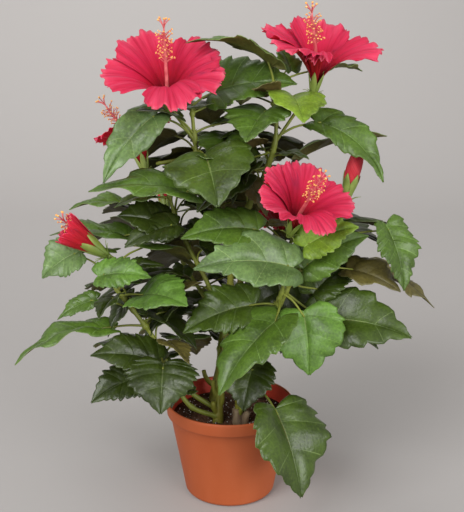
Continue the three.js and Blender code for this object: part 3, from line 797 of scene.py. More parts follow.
def grown(shoot, index, name):
    """The leaves of a shoot: those of its table as they are, then small inner ones, then those that
    grow by rule, each in the first of its stances that the frame's own mass holds. One that it
    doesn't hold in any stance is left out."""
    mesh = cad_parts["foliage_" + name].data
    skin = BVHTree.FromPolygons([v.co / MM for v in mesh.vertices],
                                [tuple(p.vertices) for p in mesh.polygons])
    path = shoot["stem"]
    for row in shoot.get("leaves", []):
        yield Leaf(path, *row)
    sprig = dice(5 + index)
    enter = shoot["enter"]
    for k in range(0 if name in NO_INNER_LEAVES else INNER_LEAVES):
        share = enter * 0.55 + (0.92 - enter * 0.55) * (k + next(sprig)) / INNER_LEAVES
        turn = INNER_TURN * k + 40 * index + 30 * next(sprig)
        # The inner leaves' dark, olive and deep greens are painted shade of the foliage's inside.
        yield Leaf(path, ("dark", "olive", "deep", "dark")[(k + index) % 4], share, turn,
                   10 + 40 * next(sprig), 10 + 16 * next(sprig), turn + 50 * (next(sprig) - 0.5),
                   -35 + 50 * next(sprig), 30 + 22 * next(sprig), 0.62 + 0.14 * next(sprig),
                   40 * (next(sprig) - 0.5))
    count, facing, spread, long = shoot.get("fill", (0, 0, 0, 0))
    roll_of = dice(11 + 7 * index)
    for k in range(count):
        share = shoot["enter"] + (1 - shoot["enter"]) * (k + 0.6) / count
        turn = facing + spread * (2 * ((k * 0.382 + 0.3) % 1) - 1)
        rise = 25 + 30 * (next(roll_of) - 0.5)
        stalk = 22 + 22 * next(roll_of)
        blade_turn = turn + 30 * (next(roll_of) - 0.5)
        pitch = -18 + 36 * (next(roll_of) - 0.5)
        size = long * (0.85 + 0.35 * next(roll_of))
        roll = 30 * (next(roll_of) - 0.5)
        kind = ("deep", "dark", "mid", "deep", "dark")[(k + index) % 5]
        for lift, swing in NUDGES:
            leaf = Leaf(path, kind, share, turn + swing, rise + lift / 2, stalk,
                        blade_turn + swing, pitch + lift, size, LEAF_WIDTH, roll)
            spots = (leaf.corner(0, 1), leaf.corner(-1, BLADE_WIDEST),
                     leaf.corner(1, BLADE_WIDEST))
            if all(skin.find_nearest(Vector(p))[3] < SKIN_REACH for p in spots):
                yield leaf
                break


twigs = Gather()
leaves = []
for index, (name, shoot) in enumerate(SHOOTS.items()):
    path = shoot["stem"] = Path(shoot["path"])
    own = list(grown(shoot, index, name))
    leaves += own
    enter = shoot["enter"]
    collars = [leaf.share for leaf in own] + [bloom[0] for bloom in shoot.get("blooms", [])]
    walk, radii = ringed(path, 0, 1, lambda share: (
        BOUGH_START + (BOUGH_ENTER - BOUGH_START) * min(1, share / enter)
        + (BOUGH_TIP - BOUGH_ENTER) * max(0, (share - enter) / (1 - enter))),
        collars + [0.03, enter * 0.5], height=0.7, reach=2.2)
    twigs.add(*tube(walk, radii, 10, grooved(3 * index, 0.06)))
    for leaf in own:
        leaf.mass = "foliage_" + name
        ahead = towards(leaf.turn, math.degrees(leaf.first))
        walk = stalk_walk(leaf.node, leaf.out, leaf.stalk, leaf.base, ahead)
        thick = 0.95 + 0.004 * leaf.long
        radii = [thick * (1.25 if k == 0 else 1.0 - 0.035 * k) for k in range(len(walk))]
        twigs.add(*tube(walk, radii, 7))
        for sign in (-1, 1):
            side = Vector((-leaf.out.y, leaf.out.x, 0)) * sign
            tip = leaf.node + leaf.out * 3 + side * 3 + UP * 4
            middle = (leaf.node + tip) / 2 + UP * 0.4
            twigs.add(*tube([leaf.node, middle, tip], [0.9, 0.6, 0.15], 4))

sprout = Shader("green_twig", (0.17, 0.21, 0.045), 0.45)
ripe = sprout.noise(30, 3)
sprout.colour(sprout.ramp(ripe, [(0.3, (0.105, 0.110, 0.018)), (0.5, (0.165, 0.195, 0.026)),
                                 (0.7, (0.25, 0.285, 0.045))]))
sprout.shine(0.35)
sprout.rough(ripe, 0.38, 0.55)
sprout.bump(sprout.noise(500, 2, (1, 1, 0.3)), 0.0002, 0.5)
twigs.piece("twigs", [sprout.material], "stem", ["bough_" + n for n in SHOOTS])


# Leaves: printed and coated fabric, pressed in a mould so that the veins sink and the web between
# them swells, with coarse teeth, a drawn-out tip and a heart-shaped base. Each has a paler vein
# and cut edge and an olive back, and they come in several greens: the deep and dark ones are
# partly painted shade for leaves inside the foliage, the pale one partly a painted sheen.
LEAF_THICK = 0.5
LEAF_BACK = 0.14  # share of the edge's walk that goes round the lobe behind the stalk
# Where the blade's points lie across it, as shares of the way from its midrib to its edge.
BLADE_COLUMNS = (0, 0.022, 0.16, 0.34, 0.54, 0.74, 0.91, 1)
USUAL_LEAF = 80  # length of the leaf that swells, hems and dents are given for
# Along the walk of the edge: where the teeth start and end, and half the width of a vein. Then,
# within one tooth, the shares of it that rise and fall.
TEETH_START, TEETH_END, VEIN_HALF = 0.11, 0.95, 0.0034
TOOTH_RISE, TOOTH_FALL = 0.7, 0.3


class Cut:
    """One leaf's cut edge: uneven teeth that point to the tip, and the veins that end in them."""

    def __init__(self, chance):
        count = 6 + int(4 * next(chance))
        self.starts = [TEETH_START + 0.83 * (j + 0.5 * (next(chance) - 0.5)) / count
                       for j in range(count)] + [TEETH_END]
        self.heights = [0.035 + 0.085 * next(chance) for _ in range(count)]
        peaks = [a + TOOTH_RISE * (b - a) for a, b in zip(self.starts, self.starts[1:])]
        first = int(2 * next(chance))
        self.veins = [0.075] + peaks[first:-1:2]

    def edge(self, walk):
        """A point of the edge, as shares of the half width and of the length. walk runs 0 to 1
        from the stalk, round the lobe and on to the tip."""
        if walk < LEAF_BACK:
            share = walk / LEAF_BACK
            wide, back = edge_of_blade(0)
            return wide * share ** 0.75, back * 1.15 * math.sin(math.pi / 2 * share ** 0.7)
        along = (walk - LEAF_BACK) / (1 - LEAF_BACK)
        x, y = edge_of_blade(along)
        if along > 0.6:
            x -= 0.085 * math.sin(math.pi * (along - 0.6) / 0.4)
        for start, end, height in zip(self.starts, self.starts[1:], self.heights):
            if start <= walk < end:
                phase = (walk - start) / (end - start)
                rise = (1 - phase) / TOOTH_FALL if phase >= TOOTH_RISE \
                    else math.sin(math.pi / 2 * phase / TOOTH_RISE)
                strength = height * min(1, (walk - 0.06) / 0.12) * min(1, (1 - along) / 0.35)
                x += (rise - 0.4) * strength * 1.5
                y += (rise - 0.4) * strength * 0.32
        return x, y

    def rows(self):
        """The rows of a blade, from the stalk to the tip: the walk of each along the edge, how
        far it lies between two veins, and whether the strip up to the next row is a vein."""
        edges = [0, 0.035, 0.055, TEETH_START]
        for a, b in zip(self.starts, self.starts[1:]):
            edges += [a + (b - a) * phase for phase in (0.02, 0.2, 0.42, TOOTH_RISE, 0.88)]
        edges += [TEETH_END, 0.975]
        walks = sorted([w for w in edges if all(abs(w - v) > VEIN_HALF * 2.5 for v in self.veins)]
                       + [1.0] + [v + s for v in self.veins for s in (-VEIN_HALF, VEIN_HALF)])
        rows = []
        for walk in walks:
            below = max([v for v in self.veins if v <= walk], default=0)
            above = min([v for v in self.veins if v > walk], default=1)
            on_vein = min(abs(walk - v) for v in self.veins) < VEIN_HALF * 1.1
            between = 0 if on_vein else math.sin(math.pi * (walk - below) / (above - below))
            starts_vein = any(abs(walk - v + VEIN_HALF) < 1e-6 for v in self.veins)
            rows.append((walk, between, starts_vein))
        return rows


def leaf_mesh(leaf, gather, chance):
    """A blade of two skins joined round the edge. Materials: 0 face, 1 vein, 2 back, 3 edge."""
    cut = Cut(chance)
    rows = cut.rows()
    wave, phase = 1.6 + 2.2 * next(chance), FULL_TURN * next(chance)
    turns = 1.3 + 1.6 * next(chance)
    twist, hollow = 0.16 * (next(chance) - 0.5), 0.30 + 0.12 * next(chance)
    dents = [(0.7 + 0.8 * next(chance), 0.05 + 0.10 * next(chance), FULL_TURN * next(chance),
              0.04 + 0.09 * next(chance), FULL_TURN * next(chance)) for _ in range(3)]
    half = leaf.width * leaf.long / 2
    size = leaf.long / USUAL_LEAF
    fronts, backs = [], []
    thin = slice(None, None, 2)  # the back skin has every second column of the front
    side = np.array([-1] * (len(BLADE_COLUMNS) - 1) + [1] * len(BLADE_COLUMNS))
    share = np.array(BLADE_COLUMNS[:0:-1] + BLADE_COLUMNS)
    for walk, between, _ in rows:
        x, y = cut.edge(walk)
        root = min(0.985, max(0, y) ** 1.75)
        reach = x * half * share
        along = root + (y - root) * share ** (1.12 if y > 0 else 0.9)
        full = min(1, x * 1.5)
        fold = reach * (hollow - 0.20 * share ** 2) + side * reach * twist
        swell = 1.7 * size * between * np.sin(math.pi * share ** 0.8) * full
        hem = wave * size * np.sin(turns * FULL_TURN * walk + phase + side) * share ** 2.5 * full
        dent = sum(depth * np.sin(side * reach * a + b) * np.sin(along * leaf.long * c + d)
                   for depth, a, b, c, d in dents) * size * np.minimum(1, share * 3) * full
        groove = np.where(share < 0.01, -0.55, np.where(share < 0.1, -0.3, 0))
        lift = fold + swell + hem + dent + groove
        fronts.append(leaf.place(side * reach, along, lift))
        backs.append(leaf.place((side * reach)[thin], along[thin], lift[thin] - LEAF_THICK))
    wide, under = len(fronts[0]), len(backs[0])
    points = [p for row in fronts for p in row] + [p for row in backs for p in row]
    first_back = wide * len(fronts)
    faces, kinds = [], []
    middle = wide // 2
    for k in range(len(rows) - 1):
        vein = rows[k][2]
        for j in range(wide - 1):
            a, b = k * wide + j, (k + 1) * wide + j
            faces.append((a, a + 1, b + 1, b))
            kinds.append(1 if vein and 0 < j < wide - 2 or j in (middle - 1, middle) else 0)
        for j in range(under - 1):
            a, b = first_back + k * under + j, first_back + (k + 1) * under + j
            faces.append((a, b, b + 1, a + 1))
            kinds.append(2)
        a, b = k * wide, (k + 1) * wide
        c, d = first_back + k * under, first_back + (k + 1) * under
        faces += [(a, b, d, c), (a + wide - 1, c + under - 1, d + under - 1, b + wide - 1)]
        kinds += [3, 3]
    for k, start in ((0, True), (len(rows) - 1, False)):
        ring = [k * wide + j for j in range(wide)]
        ring += [first_back + k * under + j for j in reversed(range(under))]
        faces.append(tuple(reversed(ring)) if start else tuple(ring))
        kinds.append(3)
    gather.add(points, faces, kinds)


# Each green's face, vein, back and cut edge, and how rough its coating is.
# The greens are partly each leaf's own tone and partly painted light: deep and dark are partly
# painted shade for leaves inside the foliage, pale is partly a painted sheen.
LEAF_GREENS = {
    "lime": ((0.150, 0.240, 0.020), (0.21, 0.31, 0.05), (0.13, 0.15, 0.025),
             (0.27, 0.34, 0.09), 0.46),
    "bright": ((0.088, 0.180, 0.024), (0.13, 0.23, 0.045), (0.12, 0.13, 0.026),
               (0.20, 0.28, 0.09), 0.44),
    "pale": ((0.098, 0.163, 0.050), (0.165, 0.240, 0.085), (0.12, 0.12, 0.030),
             (0.21, 0.28, 0.12), 0.38),
    "mid": ((0.062, 0.117, 0.013), (0.125, 0.205, 0.050), (0.11, 0.11, 0.022),
            (0.17, 0.23, 0.075), 0.40),
    "deep": ((0.041, 0.071, 0.007), (0.095, 0.140, 0.038), (0.090, 0.080, 0.018),
             (0.13, 0.18, 0.06), 0.38),
    "dark": ((0.024, 0.039, 0.004), (0.055, 0.078, 0.022), (0.060, 0.052, 0.013),
             (0.085, 0.11, 0.036), 0.37),
    "olive": ((0.095, 0.080, 0.018), (0.12, 0.105, 0.03), (0.085, 0.060, 0.016),
              (0.16, 0.15, 0.05), 0.48),
}
LEAF_SHEEN_SPECKS = (0.014, 0.015, 0.006)  # what the paler specks of painted sheen add to the face's green


def leaf_fabric(name, colour, roughness):
    """Coated fabric: a net of fine veins pressed into a print that is cloudy and speckled, with
    paler specks that are a painted sheen.
    """
    cloth = Shader(name, colour, roughness)
    net = cloth.tree.nodes.new("ShaderNodeTexVoronoi")
    net.feature = "DISTANCE_TO_EDGE"
    net.inputs["Scale"].default_value = 210
    cloth.join(cloth.place, net.inputs["Vector"])
    cells = net.outputs["Distance"]
    cloudy, speckled = cloth.noise(40, 3), cloth.noise(420, 3)
    darker, lighter = (tuple(c * share for c in colour) for share in (0.62, 1.32))
    # Paler, greyer specks laid over the print are a painted sheen.
    sheen_specked = tuple(c * 1.25 + added_sheen for c, added_sheen in zip(colour, LEAF_SHEEN_SPECKS))
    printed = cloth.ramp(cloudy, [(0.3, darker), (0.5, colour), (0.7, lighter)])
    printed = cloth.mix(cloth.ramp(speckled, [(0.56, (0, 0, 0)), (0.70, (0.6, 0.6, 0.6))]),
                        printed, sheen_specked)
    printed = cloth.mix(1.0, printed, cloth.ramp(cells, [(0.0, (1.22, 1.22, 1.15)),
                                                         (0.14, (1, 1, 1))]), "MULTIPLY")
    flecks = cloth.ramp(speckled, [(0.3, (0.78, 0.80, 0.78)), (0.5, (1, 1, 1))])
    cloth.colour(cloth.mix(1.0, printed, flecks, "MULTIPLY"))
    cloth.rough(cloth.noise(90, 3), roughness - 0.16, roughness + 0.14)
    cloth.bump(cells, 0.0004, 0.5)
    cloth.bump(speckled, 0.0002, 0.5)
    cloth.bump(cloth.noise(75, 3), 0.0022, 0.5)
    cloth.shine(0.45)
    return cloth.material


for kind, (face, vein, back, rim, roughness) in LEAF_GREENS.items():
    sprays, chance = Gather(), dice(101 + len(kind))
    masses = set()
    for leaf in leaves:
        if leaf.kind == kind:
            leaf_mesh(leaf, sprays, chance)
            masses.add(leaf.mass)
    sprays.piece("leaves_" + kind, [leaf_fabric(kind + "_leaf", face, roughness),
                                    leaf_fabric(kind + "_vein", vein, roughness + 0.05),
                                    leaf_fabric(kind + "_back", back, 0.6),
                                    leaf_fabric(kind + "_edge", rim, 0.55)], "leaf",
                 sorted(masses))

# Blooms: five overlapping petals of thin crimson fabric, creased and frilled by a hot tool and
# darker in the throat, partly their own dark eye and partly painted shade, with a lighter pink edge
# that is a painted highlight, round a pink staminal column set with wired anthers and five stigmas.
# Each stands in a moulded calyx on its own stalk, and those that haven't opened are furled in it.
TUBE, PETAL_RISE, COLUMN = 27, 19, 66
CALYX, SHUT_CALYX, CALYX_FOOT, CALYX_MOUTH, BUD_LENGTH = 17, 24, 3.2, 7.2, 54
PETAL_THICK, PETAL_FOOT, THROAT_RADIUS, USUAL_MOUTH = 0.45, 9, 3.6, 54
BUD_STEPS, BUD_SIDES, COLUMN_STEPS = 30, 30, 16
OPEN_STAMENS, HALF_OPEN_STAMENS = 62, 36
# Where up the column the stamens start, how far they go on, and the turn between two of them.
STAMENS_START, STAMENS_REACH, STAMEN_TURN = 0.34, 0.44, 2.39996

# The petals of each open bloom: where each is centred round the axis, how far it reaches and how
# wide it spreads as shares of the usual, how far its end droops, how far its edges curl up, and
# how far it is creased along its middle, in millimetres. Two more are 0 where they aren't given:
# how far it stays up before it folds out, and how far one of its edges is raised in millimetres.
EVEN_PETALS = [(36, 1, 1, 2, 0, 2), (108, 1, 1, 6, 2, 2), (180, 0.97, 1, 5, 0, 3),
               (252, 1, 1, 4, 2, 2), (324, 0.97, 1, 1, 0, 3)]
POSED_PETALS = {
    "upper_left 0": [(38, 1.05, 1.0, -6, 0, 4), (102, 1.05, 0.86, 0, -3, 3, 0, -3),
                     (196, 0.98, 1.16, 8, -3, 2, 0.6), (258, 1.0, 0.9, 6, 2, 3),
                     (312, 1.0, 1.1, 0, 2, 2, 0, 3)],
    "upper_right 0": [(28, 1.04, 0.95, -6, 2, 3, 0, -6), (84, 1.0, 0.85, 6, 2, 3, 0.3, -6),
                      (120, 0.56, 0.85, 13, -4, 2, 0.8), (228, 1.04, 1.15, -2, -3, 3, 0, 9),
                      (312, 1.02, 1.15, -17, 2, 3)],
    "right 0": [(28, 1.0, 0.9, -4, 3, 4), (96, 1.05, 0.95, -2, 4, 2),
                (182, 0.9, 1.15, 6, 0, 2, 0.6, -4), (262, 1.06, 1.0, 1, 3, 3),
                (334, 1.03, 1.0, -3, 2, 3)],
}


class Bloom:
    """Where one bloom's stalk, axis and column are."""

    def __init__(self, path, share, stalk_turn, rise, stalk, turn, axis_rise, mouth, kind,
                 column_turn=None, column_rise=None):
        self.node, self.stalk, self.mouth, self.kind = path.at(share), stalk, mouth, kind
        self.out = towards(stalk_turn, rise)
        self.base = self.node + self.out * stalk
        self.axis = towards(turn, axis_rise)
        self.column = self.axis if column_turn is None else towards(column_turn, column_rise)
        self.side = self.axis.cross(UP).normalized()
        self.back = self.side.cross(self.axis)
        self.open = kind == "open"
        self.column_length = COLUMN * (0.92 if self.open else 0.45)

    def place(self, radius, turn, height):
        """Points round the axis: turn in radians from the back towards the side."""
        radius, turn, height = (np.asarray(x, float)[..., None] for x in (radius, turn, height))
        return (np.array(self.base) + radius * np.sin(turn) * np.array(self.side)
                + radius * np.cos(turn) * np.array(self.back) + height * np.array(self.axis))


def sheet_grid(across, along):
    """The places of a sheet's points: from -1 to 1 across it and from 0 to 1 along it."""
    return (np.linspace(-1, 1, across)[None, :] * np.ones((along, 1)),
            np.linspace(0, 1, along)[:, None] * np.ones((1, across)))


def sheet_faces(points, thick, across, along):
    """A grid of points made a closed sheet of even thickness. Kinds of face: 0 for the inside and
    the rim, 1 for the outside."""
    grid = points.reshape(along, across, 3)
    down = np.gradient(grid, axis=0)
    over = np.gradient(grid, axis=1)
    normal = np.cross(over, down)
    normal /= np.maximum(np.linalg.norm(normal, axis=2, keepdims=True), 1e-9)
    under = (grid - normal * thick).reshape(-1, 3)
    count = across * along
    faces, kinds = [], []
    for k in range(along - 1):
        for j in range(across - 1):
            a, b = k * across + j, (k + 1) * across + j
            faces += [(a, a + 1, b + 1, b), (count + a, count + b, count + b + 1, count + a + 1)]
            kinds += [1, 0]
    rim = (list(range(across)) + [k * across + across - 1 for k in range(1, along)]
           + [(along - 1) * across + j for j in range(across - 2, -1, -1)]
           + [k * across for k in range(along - 2, 0, -1)])
    for a, b in zip(rim, rim[1:] + rim[:1]):
        faces.append((b, a, count + a, count + b))
        kinds.append(0)
    return np.vstack([points, under]), faces, kinds


def petal(bloom, stance, chance, across=61, along=20):
    """One petal of an open or half-open bloom, and its map: across, and throat to edge."""
    centre, far, spread, droop, curl, crease, folded, tilt = (*stance, 0, 0)[:8]
    u, s = sheet_grid(across, along)
    ragged = np.zeros_like(u)
    for waves, height in ((7, 0.012), (12, 0.011), (19, 0.010), (3, 0.014)):
        ragged += height * np.sin(waves * u * math.pi + FULL_TURN * next(chance))
    notched = 0.022 * np.maximum(0, np.sin(17 * u * math.pi + FULL_TURN * next(chance))) ** 3
    tip = 1 - (0.24 if bloom.open else 0.30) * np.abs(u) ** 2.8
    v = s * (tip + (ragged - notched) * s ** 8)
    mouth = bloom.mouth * far
    lean = (1.25 if bloom.open else 0.7) + 0.6 * folded
    rise = PETAL_RISE * (1 if bloom.open else 1.3) + TUBE - PETAL_FOOT
    steep = (2.2 if bloom.open else 1.1) + folded
    radius = THROAT_RADIUS + (mouth - THROAT_RADIUS) * v ** lean
    height = PETAL_FOOT + rise * (1 - (1 - np.minimum(v, 1)) ** steep)
    half = math.radians(36 + (10 if bloom.open else 14) * spread)
    half = half * (0.8 + 0.2 * np.minimum(1, v / 0.3))
    half = half * (1 - 0.06 * s ** 6)
    turn = math.radians(centre) + u * half * (0.9 + 0.1 * spread)
    lift = 1.5 * u * np.minimum(1, v / 0.35) + tilt * u * v ** 2
    creased = crease * 1.2 * np.exp(-(u / 0.14) ** 2) * v * (1.1 - v) * 2.2
    lift += curl * np.abs(u) ** 3 * v ** 2 - creased
    for waves, depth in ((2.2, 1.3), (3.7, 0.8)):
        lift += depth * np.sin(waves * u * math.pi + FULL_TURN * next(chance)) * v ** 1.5
    frill = 0
    for waves, depth in ((5.5, 1.5), (8.3, 1.1), (13, 0.5)):
        frill = frill + depth * np.sin(waves * u * math.pi + FULL_TURN * next(chance))
    size = bloom.mouth / USUAL_MOUTH
    lift += frill * s ** 4 * (size if bloom.open else 0.6)
    for waves, depth in ((9, 0.14), (15, 0.07)):
        lift += depth * np.sin(waves * u * math.pi + FULL_TURN * next(chance)) * np.sqrt(v) * size
    height = height + lift * (0.35 + 0.65 * v) - droop * v ** 2.4
    radius = radius - lift * 0.35 * (1 - v) - np.maximum(0, droop) * 0.12 * v ** 4
    points = bloom.place(radius, turn, height).reshape(-1, 3)
    maps = np.stack([u / 2 + 0.5, v], axis=-1).reshape(-1, 2)
    points, faces, kinds = sheet_faces(points, PETAL_THICK, across, along)
    return points, faces, kinds, np.vstack([maps, maps])


def sepals(bloom, chance):
    """The calyx: a cup of five pointed sepals, and a ring of narrow bracts below it."""
    tall = {"open": CALYX, "bud": SHUT_CALYX, "half": SHUT_CALYX + 5}[bloom.kind] + 3
    wide = {"open": CALYX_MOUTH, "bud": bloom.mouth + 0.7, "half": 10.5}[bloom.kind]
    full = 0.62 if bloom.kind == "bud" else 0.45
    for k in range(5):
        across, along = 9, 12
        u, v = sheet_grid(across, along)
        narrow = np.where(v < full, 1, np.maximum(0.02, (1 - v) / (1 - full)) ** 0.8)
        radius = (2.3 + (wide - 2.3) * np.minimum(1, v / 0.85) ** 0.8 + 0.45 * (1 - u ** 2)
                  + (2.6 if bloom.open else 1.0) * np.maximum(0, v - 0.6) ** 2)
        turn = math.radians(36 + 72 * k) + u * math.radians(37) * narrow
        height = -CALYX_FOOT + 1 + v * (tall + 1.5 + 2 * next(chance))
        points = bloom.place(radius, turn, height).reshape(-1, 3)
        yield sheet_faces(points, 0.6, across, along)[:2]
    for k in range(7):
        turn = math.radians(20 + 51.4 * k)
        curve = 3.5 + 3 * next(chance)
        across, along = 3, 6
        u, v = sheet_grid(across, along)
        reach = 1 if bloom.open else 1.5
        radius = 2.6 + (curve + 2.2) * v * reach
        height = -1.5 + 9 * v * reach - curve * v ** 2
        width = 0.75 * (1 - v ** 2) + 0.06
        points = bloom.place(radius, turn + u * width / radius, height).reshape(-1, 3)
        yield sheet_faces(points, 0.45, across, along)[:2]


def furled(k, angle):
    """Relief of a bud's petals, wound round one another."""
    return 0.10 * abs(math.sin(1.5 * angle + 0.11 * k)) - 0.05


petals, calyces, columns, bloom_stalks, pads = Gather(), Gather(), Gather(), Gather(), Gather()
stamens = []
chance = dice(77)
blooms = [(name + " " + str(k), Bloom(shoot["stem"], *row))
          for name, shoot in SHOOTS.items() for k, row in enumerate(shoot.get("blooms", []))]
for name, bloom in blooms:
    for points, faces in sepals(bloom, chance):
        calyces.add(points, faces)
    cup = [bloom.base + bloom.axis * x for x in (-4.6, -3.6, -2.4, 0, 4, 9)]
    calyces.add(*tube(cup, [1.9, 2.6, 2.7, 2.6, 3.6, 4.4], 12))
    walk = stalk_walk(bloom.node, bloom.out, bloom.stalk, bloom.base, bloom.axis, 16)
    radii = [1.6 + 0.15 * math.exp(-((k - 11) / 0.8) ** 2) * 3 for k in range(len(walk))]
    bloom_stalks.add(*tube(walk[:-4], radii[:-4], 9, grooved(3, 0.05)))
    if bloom.kind == "bud":
        first, tip = bloom.base + bloom.axis * 6, bloom.base + bloom.axis * (BUD_LENGTH - 1)
        shares = [k / BUD_STEPS for k in range(BUD_STEPS + 1)]
        walk = [first.lerp(tip, share) for share in shares]
        radii = [bloom.mouth * (0.35 + 0.65 * math.sin(math.pi * (0.04 + 0.91 * share)) ** 0.7)
                 * (1 - 0.55 * max(0, share - 0.9) * 10) for share in shares]
        points, faces = tube(walk, radii, BUD_SIDES, furled)
        petals.add(points, faces, 2)
        around = [(j % BUD_SIDES / BUD_SIDES, j // BUD_SIDES) for j in range(len(points) - 2)]
        petals.maps += [(0.5, 0.1)] + [(share + 0.03 * ring, 0.25 + 0.6 * ring / len(shares))
                                       for share, ring in around] + [(0.5, 0.8)]
        continue
    for stance in POSED_PETALS.get(name, EVEN_PETALS):
        points, faces, kinds, maps = petal(bloom, stance, chance)
        petals.add(points, faces, kinds)
        petals.maps += [tuple(m) for m in maps]

    # The column bends from the axis to its own lean, and ends in the five arms of the style.
    start, elbow = bloom.base + bloom.axis * 10, bloom.base + bloom.axis * TUBE
    end = elbow + bloom.column * (bloom.column_length * 0.86)
    shares = [k / COLUMN_STEPS for k in range(COLUMN_STEPS + 1)]
    walk = [start, elbow - bloom.axis * 8]
    walk += [(elbow - bloom.axis * 5).lerp(end, share) for share in shares]
    radii = [1.9, 1.8] + [1.7 - 1.05 * share ** 2.2 for share in shares]
    columns.add(*tube(walk, radii, 10))
    across = bloom.column.orthogonal().normalized()
    over = bloom.column.cross(across)
    for k in range(5):
        turn = math.radians(72 * k + 20)
        side = across * math.cos(turn) + over * math.sin(turn)
        arm = [end - bloom.column * 1.5, end + bloom.column * 3 + side * 1.6,
               end + bloom.column * (6.4 + (k % 2)) + side * 4.6]
        columns.add(*tube([Path(arm).at(j / 5) for j in range(6)], [0.5] * 6, 6))
        knob = arm[-1]
        pads.add(*tube([knob - side * 0.2, knob + (side + bloom.column) * 0.5,
                        knob + (side + bloom.column) * 1.1], [0.7, 1.15, 0.7], 8))
    count = OPEN_STAMENS if bloom.open else HALF_OPEN_STAMENS
    for k in range(count):
        share = STAMENS_START + STAMENS_REACH * k / count
        turn = STAMEN_TURN * k
        side = across * math.cos(turn) + over * math.sin(turn)
        place = elbow + bloom.column * (bloom.column_length * share) + side
        stamens.append((place, (side + bloom.column * (0.25 + 0.8 * next(chance))
                                + UP * 0.3 * (next(chance) - 0.5)).normalized()))


def lay_map(piece, maps):
    """Gives a piece its own map, across from 0 to 1 and along from 0 to 1."""
    layer = piece.data.uv_layers.new(name="grain")
    for loop in piece.data.loops:
        layer.data[loop.index].uv = maps[loop.vertex_index]


def petal_cloth(name, stops, strength, roughness):
    """Petal fabric, coloured from throat to edge, streaked along its fine creased veins and clouded
    darker in broad patches of painted shade.
    """
    cloth = Shader(name, stops[-1][1], roughness)
    own = cloth.tree.nodes.new("ShaderNodeTexCoord").outputs["UV"]
    parts = cloth.tree.nodes.new("ShaderNodeSeparateXYZ")
    cloth.join(own, parts.inputs[0])
    streaks = cloth.noise(1, 3, (42, 1.8, 1), own)
    broad = cloth.noise(1, 2, (9, 1.6, 1), own)
    base = cloth.ramp(parts.outputs["Y"], stops)
    streaky = cloth.ramp(streaks, [(0.30, (0.78, 0.45, 0.62)), (0.48, (1, 1, 1)),
                                   (0.72, (1.08, 1.9, 1.40))])
    # Broad darker clouds over the petal are painted shade, standing for the shadows between the
    # petals and in their folds.
    painted_shade_clouds = cloth.ramp(broad, [(0.3, (0.80, 0.55, 0.68)), (0.6, (1, 1, 1))])
    streaked = cloth.mix(strength, base, streaky, "MULTIPLY")
    cloth.colour(cloth.mix(1.0, streaked, painted_shade_clouds, "MULTIPLY"))
    cloth.rough(streaks, roughness - 0.08, roughness + 0.08)
    cloth.bump(streaks, 0.0006, 0.7)
    cloth.bump(cloth.noise(1400, 2), 0.00012, 0.4)
    cloth.shine(0.15)
    cloth.skin.inputs["Subsurface Weight"].default_value = 0.6
    cloth.skin.inputs["Subsurface Radius"].default_value = (1, 0.4, 0.5)
    cloth.skin.inputs["Subsurface Scale"].default_value = 0.002
    cloth.skin.inputs["Sheen Weight"].default_value = 0.04
    cloth.skin.inputs["Sheen Roughness"].default_value = 0.4
    cloth.skin.inputs["Sheen Tint"].default_value = (1, 0.6, 0.7, 1)
    return cloth.material


# The face is darkest in the throat, partly the flower's own dark eye and partly painted shade, and
# the lighter pink towards its edge is a painted highlight.
lit = petal_cloth("petal_face", [(0.10, (0.15, 0.001, 0.005)), (0.32, (0.36, 0.002, 0.020)),
                                 (0.6, (0.50, 0.013, 0.057)), (0.92, (0.58, 0.035, 0.090)),
                                 (1.0, (0.65, 0.085, 0.140))],
                  0.85, 0.72)
reverse = petal_cloth("petal_back", [(0.2, (0.28, 0.004, 0.008)), (0.6, (0.42, 0.008, 0.018)),
                                     (1.0, (0.62, 0.020, 0.055))], 0.8, 0.62)
furled_cloth = petal_cloth("petal_furled", [(0.2, (0.42, 0.020, 0.030)),
                                            (1.0, (0.66, 0.060, 0.085))], 0.9, 0.6)
piece = petals.piece("petals", [lit, reverse, furled_cloth], "petal",
                     ["foliage_" + n for n in SHOOTS if SHOOTS[n].get("blooms")])
lay_map(piece, petals.maps)

moulded = Shader("calyx_green", (0.20, 0.26, 0.035), 0.5)
moulded.colour(moulded.ramp(moulded.noise(90, 3), [
    (0.3, (0.120, 0.175, 0.027)), (0.5, (0.175, 0.230, 0.038)), (0.7, (0.25, 0.31, 0.065))]))
moulded.rough(moulded.noise(200, 2), 0.42, 0.6)
moulded.bump(moulded.noise(420, 2, (1, 1, 0.25)), 0.0004, 0.5)
calyces.piece("calyces", [moulded.material], "calyx")
bloom_stalks.piece("bloom_stalks", [sprout.material], "stem")

salmon = Shader("stamen_pink", (0.62, 0.085, 0.085), 0.5)
salmon.colour(salmon.ramp(salmon.noise(160, 2), [(0.3, (0.50, 0.050, 0.070)),
                                                 (0.7, (0.74, 0.18, 0.18))]))
salmon.bump(salmon.noise(900, 2), 0.0002, 0.5)
columns.piece("columns", [salmon.material], "stamen")
pollen = Shader("anther_yellow", (0.85, 0.36, 0.045), 0.75)
pollen.colour(pollen.ramp(pollen.noise(700, 2), [
    (0.3, (0.78, 0.30, 0.07)), (0.55, (0.86, 0.46, 0.13)), (0.75, (0.90, 0.62, 0.26))]))
pollen.bump(pollen.noise(1500, 2), 0.0003, 0.7)
pads.piece("stigma_pads", [pollen.material], "anther")


def stamen_rows(name):
    """The columns' bare points, each with the direction of the stamen that grows there."""
    mesh = bpy.data.meshes.new(name)
    mesh.from_pydata([tuple(MM * x for x in place) for place, _ in stamens], [], [])
    ahead = mesh.attributes.new("ahead", "FLOAT_VECTOR", "POINT")
    ahead.data.foreach_set("vector", [x for _, way in stamens for x in way])
    return mesh


